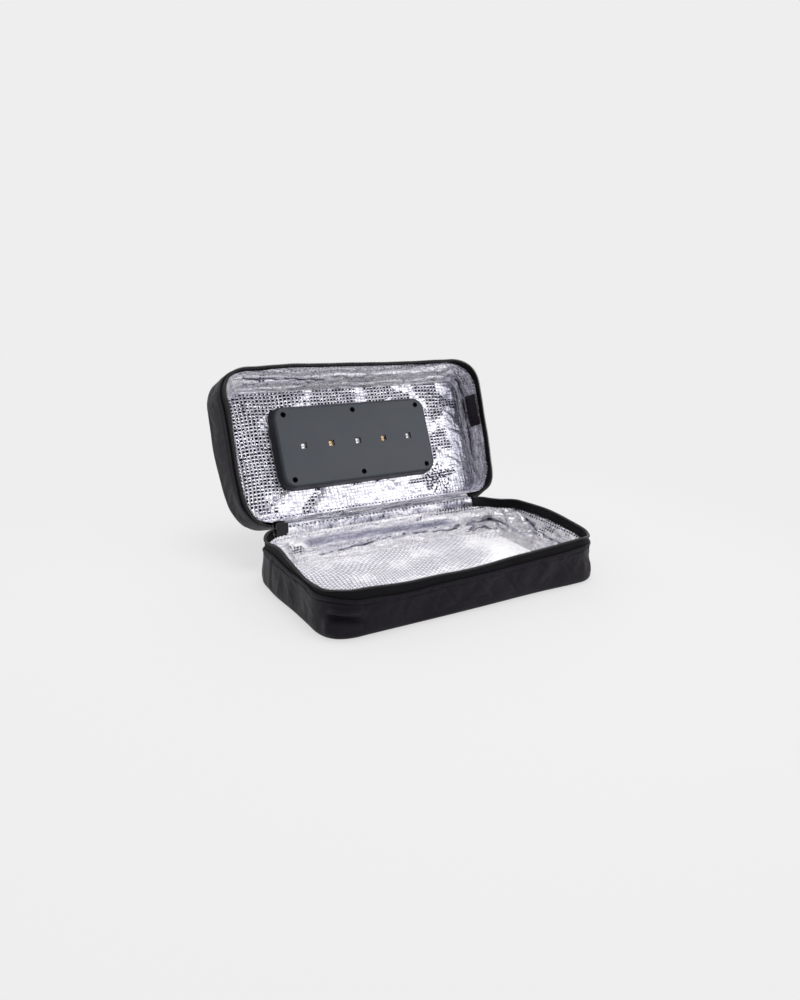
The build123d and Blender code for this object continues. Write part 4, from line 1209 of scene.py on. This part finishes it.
def place_lid_foil(foot, way, row):
    share, z = row
    scallop = 0.9 * mm * abs(math.sin(math.pi * around(foot, way, foot.x + way.x) / cell_long)) * (share == 0)
    edge = edge_lift(foot + way * corner_radius) - scallop + 2.5 * mm * abs(way.x * way.y) * 2
    edge += 1.3 * mm * bump_at(foot + way * corner_radius, -78, -57, 34)
    rim = on_lid(foot, way, foil_inset, z + edge * (1 - share))
    inner = Vector((foot.x * panel_core_x / core_x, foot.y * panel_core_y / core_y + panel_shift, z))
    return rim.lerp(inner + way * panel_radius, share)


def lid_foil_share(point):
    return (point.z - lid_foil_rim) / (panel_z - lid_foil_rim)


bm = bmesh.new()
lid_foil_rows = [(i / lid_wall_steps, lid_foil_rim + (panel_z - lid_foil_rim) * i / lid_wall_steps)
                 for i in range(lid_wall_steps + 1)]
draw_wall(bm, plan_loop(bm, foil_spacing), lid_foil_rows, place_lid_foil)
face_inward(bm)
foil_wall(bm, lid_foil_share, 19 * mm, lid_rolls, lid_bunches, lid_creases, 8.2, 0.4, 0.45, 0.2, lid_marks)
bmesh.ops.transform(bm, matrix=opening, verts=bm.verts)
lid_foil = finish_piece("lid_foil", bm, wall_foil)
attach(lid_foil, "lid")
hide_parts("lid_wall_lining", "lid_foam")

# ---------------------------------------------------------------- lid foil panel
# Flat panel of film pressed with a coarse grid, painted black in the grooves that look up, as painted reflection of
# the dark room. The lamp is screwed through it, and long creases run from the lamp's corners to the seam.
panel_spacing = 0.5 * mm
lamp_half_x = 65.5 * mm
lamp_half_y = 29.5 * mm

# Creases across the panel while shut: where each starts and ends, how broad it is and how high, in
# millimetres.
panel_creases = (
    ((-64, 33), (-92, 49), 3.5, 1.0),
    ((-40, 34), (-56, 51), 3.0, -0.7),
    ((-28, 31), (-12, 44), 3.5, 0.6),
    ((24, 33), (52, 50), 3.2, -0.6),
    ((60, 32), (72, 48), 2.6, 0.6),
    ((-74, -20), (-88, -30), 4.0, 0.9),
    ((66, -10), (90, -32), 4.5, -0.8),
    ((68, 16), (92, 30), 3.5, 0.7),
)

panel_foil = foil_material("panel_foil", (0.96, 0.945, 1.0), (0.004, 0.004, 0.006), 0.22, 0.85,
                           ((3.05 * mm, 2.6 * mm), 0, 1.0, 0.45, 0.13, 0.5), (210, 260, 1), 0.2, 0.16, 0.1)


bm = bmesh.new()
rounded_sheet(bm, panel_half_x, panel_half_y, panel_radius, panel_spacing)
bmesh.ops.translate(bm, verts=bm.verts, vec=(0, panel_shift, 0))
under_lamp = [f for f in bm.faces if abs(f.calc_center_median().x - lamp_middle.x) < lamp_half_x
              and abs(f.calc_center_median().y - lamp_middle.y) < lamp_half_y]
bmesh.ops.delete(bm, geom=under_lamp, context="FACES")
bmesh.ops.reverse_faces(bm, faces=bm.faces)
film = []
for vert in bm.verts:
    point = vert.co.copy()
    x, y, _ = point / mm
    bend = noise.noise_vector(point / (32 * mm)) * 1.8 * mm
    along, down = point.x + bend.x, -point.y + bend.y
    beside = noise.noise(point / (17 * mm) + Vector((4, 1, 0)))
    across_flat = Vector((x, y, 0)) * mm
    low = smooth(y, 28, 38)
    right = smooth(x, 80, 92)
    left = smooth(-x, 62, 78)
    marked = max(crease_at(across_flat, (-55, 48), (-42, 34), 3.2), crease_at(across_flat, (57, 44), (66, 36), 2.6),
                 0.8 * crease_at(across_flat, (40, 38), (84, 34), 2.2))
    # shown sets where the cells' painted groove shade shows: most at the left and along some creases, least near the
    # bottom and at the right.
    shown = smooth(beside + 1.2 * marked + 0.42 * left - 0.72 * low - 0.55 * right + 0.2 * smooth(-y, 27, 36), -0.3, 0.35)
    crushed, valley = crumple(point.x * 0.7 + point.y * 0.5, point.y * 0.6 - point.x * 0.4, 6.1)
    folds = sum(size * crease_at(point, start, end, breadth) for start, end, breadth, size in panel_creases)
    edge = smooth(-inside_out(point - Vector((0, panel_shift, 0)), panel_half_x, panel_half_y, panel_radius)[0],
                  0, 4 * mm)
    pillow = abs(math.sin(math.pi * along / (3.05 * mm))) ** 0.4 * abs(math.sin(math.pi * down / (2.6 * mm))) ** 0.5
    swell = noise.noise(point / (26 * mm) + Vector((0, 6, 0)))
    raised = 0.35 * pillow * (0.5 + 0.5 * shown) + (0.7 * swell + crushed * (0.28 - 0.1 * low + 0.3 * right) + folds) * edge
    vert.co.z = panel_z - raised * mm
    seam = (1 - smooth(abs(along / (3.05 * mm) % 1 - 0.5), 0.2, 0.3)) * (abs(y - 50.2) < 0.45)
    # A patch of dark specks beside the lamp's lower right corner.
    dark_specks = smooth(noise.noise(point / (1.9 * mm)), 0.08, 0.2) * smooth(bump_at(point, 67, 37, 13), 0.2, 0.5)
    # The last value: a grey right strip and dark fold valleys at the bottom and right are painted shade; the seam dots
    # are marks, and a patch of dark specks lies beside the lamp's corner.
    film.append((along, down, 0.24 + 0.76 * shown,
                 max(0.3 * right, 0.85 * seam, 0.9 * dark_specks, 0.25 * valley * (low + right))))
keep_film(bm, film)
bmesh.ops.transform(bm, matrix=opening, verts=bm.verts)
lid_panel = finish_piece("lid_panel", bm, panel_foil)
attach(lid_panel, "lid")
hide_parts("lid_panel_lining")

# ---------------------------------------------------------------- sensor pocket
# A flat patch of the black polyester, sewn down on three sides over the lid switch. Its mouth is tucked under
# the zip tape.
pocket_start = -27 * mm
pocket_end = -1 * mm
pocket_rows = ((2.6, 3.5), (3.2, 4.8), (7.2, 6.0), (7.9, 7.4), (7.9, 9.4), (7.2, 11.2), (5.6, 12.4), (5.0, 12.9))

bm = bmesh.new()
columns = 36
for inset, depth in pocket_rows:
    for i in range(columns + 1):
        y = pocket_start + (pocket_end - pocket_start) * i / columns
        side = min(i, columns - i) / columns * (pocket_end - pocket_start)
        puffed = smooth(side, 0, 2.5 * mm)
        flat_inset = 2.6 + max(0.0, depth - 5.5) * 0.42
        fold = 0.5 * math.exp(-(((y / mm + 9) / 1.2) ** 2)) * puffed
        wavy = 0.35 * noise.noise(Vector((y / (6 * mm), depth / 5, 3)))
        x = half_length - (flat_inset + (inset - flat_inset) * puffed + fold + wavy) * mm
        bm.verts.new((x, y, lid_rim + depth * mm))
bm.verts.ensure_lookup_table()
for row in range(len(pocket_rows) - 1):
    for i in range(columns):
        first = row * (columns + 1) + i
        bm.faces.new([bm.verts[k] for k in (first, first + 1, first + columns + 2, first + columns + 1)])
bmesh.ops.transform(bm, matrix=opening, verts=bm.verts)
pocket = finish_piece("pocket", bm, outer_cloth)
give_thickness(pocket, 0.7 * mm)
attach(pocket, "lid")
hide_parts("sensor_pocket")

# ---------------------------------------------------------------- hinge
# The black strip behind and the foil band in front that join lid and base.
hinge_left = -86 * mm
hinge_right = 82 * mm
foil_right = 76 * mm
hinge_spacing = 0.7 * mm
strip_path = ((56.3, 18), (56.4, 25.4), (57.6, 28.2), (60, 29.1), (64.5, 29.4), (69.5, 29.6), (77.0, 26.5))
foil_path = ((55.2, 24.6), (55.9, 28.4), (57.6, 31.6), (60.0, 31.6), (63.0, 32.5), (66.6, 32.4), (70.2, 31.2),
             (73.0, 31.6))


def hinge_band(bm, path, right, spacing, steps):
    """A band along the hinge, up to its right end, whose section runs smoothly through a path of Y and Z, in
    millimetres."""
    points = [Vector((0, y, z)) * mm for y, z in path]
    section = []
    for i in range(len(points) - 1):
        before = points[max(0, i - 1)]
        after = points[min(len(points) - 1, i + 2)]
        pull_in = (points[i + 1] - before) / 6
        pull_out = (after - points[i]) / 6
        section += geometry.interpolate_bezier(points[i], points[i] + pull_in, points[i + 1] - pull_out,
                                               points[i + 1], steps)[:-1]
    section.append(points[-1])
    first = bm.verts.new(section[0] + Vector((hinge_left, 0, 0)))
    chain = [first]
    for point in section[1:]:
        chain.append(bm.verts.new(point + Vector((hinge_left, 0, 0))))
        bm.edges.new(chain[-2:])
    edges = bm.edges[:]
    columns = round((right - hinge_left) / spacing)
    for _ in range(columns):
        made = bmesh.ops.extrude_edge_only(bm, edges=edges)["geom"]
        verts = {g for g in made if isinstance(g, bmesh.types.BMVert)}
        edges = [g for g in made if isinstance(g, bmesh.types.BMEdge) and set(g.verts) <= verts]
        bmesh.ops.translate(bm, verts=list(verts), vec=((right - hinge_left) / columns, 0, 0))


bm = bmesh.new()
hinge_band(bm, strip_path, hinge_right, 3 * hinge_spacing, 5)
bmesh.ops.recalc_face_normals(bm, faces=bm.faces)
hinge_strip = finish_piece("hinge_strip", bm, tape_cloth)
give_thickness(hinge_strip, 0.8 * mm)
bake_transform(hinge_strip)
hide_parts("hinge_strip_base", "hinge_strip_lid")

bm = bmesh.new()
hinge_band(bm, foil_path, foil_right, hinge_spacing, 9)
film = []
moves = []
for vert in bm.verts:
    along, across = vert.co.x, vert.co.y - 52 * mm
    streaks = noise.noise(Vector((along / (34 * mm), across / (2.2 * mm), 4)))
    row = max(1 - smooth(abs(across - 14.6 * mm), 0.35 * mm, 0.6 * mm), 1 - smooth(abs(across - 5.4 * mm), 0.3 * mm, 0.5 * mm))
    stitch = (1 - smooth(abs(along / cell_long % 1 - 0.5), 0.14, 0.26)) * row
    # The dark line in the fold valley and the grey band are painted shade; the two stitch rows are marks.
    valley = 0.55 * math.exp(-(((across - 9.6 * mm - 1.2 * mm * streaks) / (0.5 * mm)) ** 2))
    shown = smooth(noise.noise(vert.co / (14 * mm)), 0.1, 0.4)
    grey = 0.08 + 0.26 * smooth(noise.noise(Vector((along / (22 * mm), across / (2.4 * mm), 8))), -0.1, 0.4)
    film.append((along, across, 0.6 * shown, max(0.8 * stitch, valley, grey)))
    broken, _ = crumple(along, across, 5.3)
    moves.append(0.9 * streaks + 0.35 * broken - 0.5 * valley)
keep_film(bm, film)
for vert, move in zip(bm.verts, moves):
    vert.co += Vector((0, -0.3, 0.95)) * move * 0.8 * mm
bmesh.ops.recalc_face_normals(bm, faces=bm.faces)
hinge_foil = finish_piece("hinge_foil", bm, wall_foil)
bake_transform(hinge_foil)
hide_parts("hinge_lining_base", "hinge_lining_lid")

# ---------------------------------------------------------------- lamp
# Dark grey moulded faceplate over a black housing, held by six screws in deep pockets. Five square windows
# show the LED packages: three silver ultraviolet-C and two amber ultraviolet-A.


def dress(material, *nodes):
    """Gives CAD pieces a material."""
    for node in nodes:
        for each in frame["nodes"][node].material_slots:
            each.link = "OBJECT"
            each.material = material


def moulded(name, color, roughness, grain):
    """Moulded plastic with a spark-eroded grain and slight unevenness in its gloss."""
    made = new_material(name, color, roughness)
    tree = made.node_tree
    shader = tree.nodes["Principled BSDF"]
    place = add_node(tree, "ShaderNodeTexCoord").outputs["Object"]
    spark = add_node(tree, "ShaderNodeTexNoise", {"Vector": place, "Scale": 1 / grain, "Detail": 2.0})
    bumped = add_node(tree, "ShaderNodeBump", {"Height": spark.outputs["Fac"], "Strength": 0.25,
                                               "Distance": 0.08 * mm})
    tree.links.new(bumped.outputs["Normal"], shader.inputs["Normal"])
    handled = add_node(tree, "ShaderNodeTexNoise", {"Vector": place, "Scale": 60.0, "Detail": 5.0})
    gloss = add_node(tree, "ShaderNodeMapRange", {"Value": handled.outputs["Fac"], "To Min": roughness - 0.07,
                                                  "To Max": roughness + 0.09})
    tree.links.new(gloss.outputs[0], shader.inputs["Roughness"])
    return made


def metal(name, color, roughness):
    """Plated or blackened metal with faint brushing."""
    made = new_material(name, color, roughness, Metallic=1.0)
    tree = made.node_tree
    place = add_node(tree, "ShaderNodeTexCoord").outputs["Object"]
    brushed = add_node(tree, "ShaderNodeTexNoise", {"Vector": place, "Scale": 1500.0, "Detail": 2.0})
    gloss = add_node(tree, "ShaderNodeMapRange", {"Value": brushed.outputs["Fac"], "To Min": roughness - 0.08,
                                                  "To Max": roughness + 0.1})
    tree.links.new(gloss.outputs[0], tree.nodes["Principled BSDF"].inputs["Roughness"])
    return made


slate_plastic = moulded("slate_plastic", (0.06, 0.0665, 0.0795), 0.42, 0.35 * mm)
tree = slate_plastic.node_tree
# The faceplate's sides and skirt are painted darker than its face, as painted shade.
facing = add_node(tree, "ShaderNodeVectorMath", {0: add_node(tree, "ShaderNodeTexCoord").outputs["Normal"],
                                                 1: opening.to_3x3() @ Vector((0, 0, -1))},
                  operation="DOT_PRODUCT").outputs["Value"]
painted_side_shade = add_node(tree, "ShaderNodeMix", {0: ramp_between(tree, facing, 0.5, 0.93), 6: (0.016, 0.018, 0.022, 1),
                                             7: (0.034, 0.0405, 0.053, 1)}, data_type="RGBA")
tree.links.new(painted_side_shade.outputs[2], tree.nodes["Principled BSDF"].inputs["Base Color"])
dress(slate_plastic, "lamp_faceplate")
dress(moulded("black_plastic", (0.02, 0.02, 0.021), 0.5, 0.35 * mm), "lamp_housing", "board_connector",
      "driver_chips", "push_switch")
dress(metal("black_oxide", (0.05, 0.05, 0.053), 0.4), "faceplate_screws", "led_board_screws",
      "driver_board_screws", "bezel_screws")
dress(metal("silver_plate", (0.86, 0.87, 0.88), 0.28), "uvc_led_packages")
dress(metal("gold_plate", (0.9, 0.55, 0.16), 0.32), "uva_led_packages")
dress(moulded("led_die", (0.5, 0.48, 0.42), 0.3, 0.1 * mm), "led_chips", "indicator_led")
dress(moulded("white_board", (0.75, 0.76, 0.77), 0.45, 0.3 * mm), "led_board")
dress(moulded("green_board", (0.02, 0.16, 0.06), 0.4, 0.3 * mm), "driver_board")
dress(new_material("quartz", (1, 1, 1), 0.05, Transmission_Weight=1.0, IOR=1.46), "led_cover_glasses")
dress(new_material("reed_tube", (0.8, 0.9, 0.86), 0.08, Transmission_Weight=1.0, IOR=1.5), "lid_sensor")

# ---------------------------------------------------------------- controls
# A black plate on the lid's outer side carries the power button, its light and the charging inlet.
dress(moulded("satin_black", (0.03, 0.03, 0.033), 0.42, 0.3 * mm), "control_bezel")
dress(moulded("button_black", (0.04, 0.04, 0.043), 0.3, 0.25 * mm), "power_button")
dress(new_material("clear_pipe", (0.95, 0.97, 1.0), 0.25, Transmission_Weight=0.8, IOR=1.49), "light_pipe")
dress(metal("stamped_steel", (0.62, 0.62, 0.63), 0.3), "usb_socket")

# ---------------------------------------------------------------- zip slider, pull and end tab
# Die-cast slider in black enamel, parked at the hinge end, with a flat pull that hangs outside.
dress(metal("black_enamel", (0.045, 0.045, 0.048), 0.35), "zip_slider", "zip_pull")
dress(tape_cloth, "zip_end_tab")

# ---------------------------------------------------------------- hidden layers
# Foam, floor board, magnet and the lid switch's lead: out of sight, but finished as what they are.
dress(moulded("foam_cell", (0.8, 0.8, 0.78), 0.9, 0.6 * mm), "base_foam", "lid_foam")
dress(moulded("stiff_board", (0.1, 0.1, 0.1), 0.7, 0.5 * mm), "base_floor_board")
dress(metal("nickel", (0.75, 0.73, 0.7), 0.25), "base_magnet")
dress(moulded("lead_sheath", (0.02, 0.02, 0.02), 0.45, 0.2 * mm), "sensor_lead")
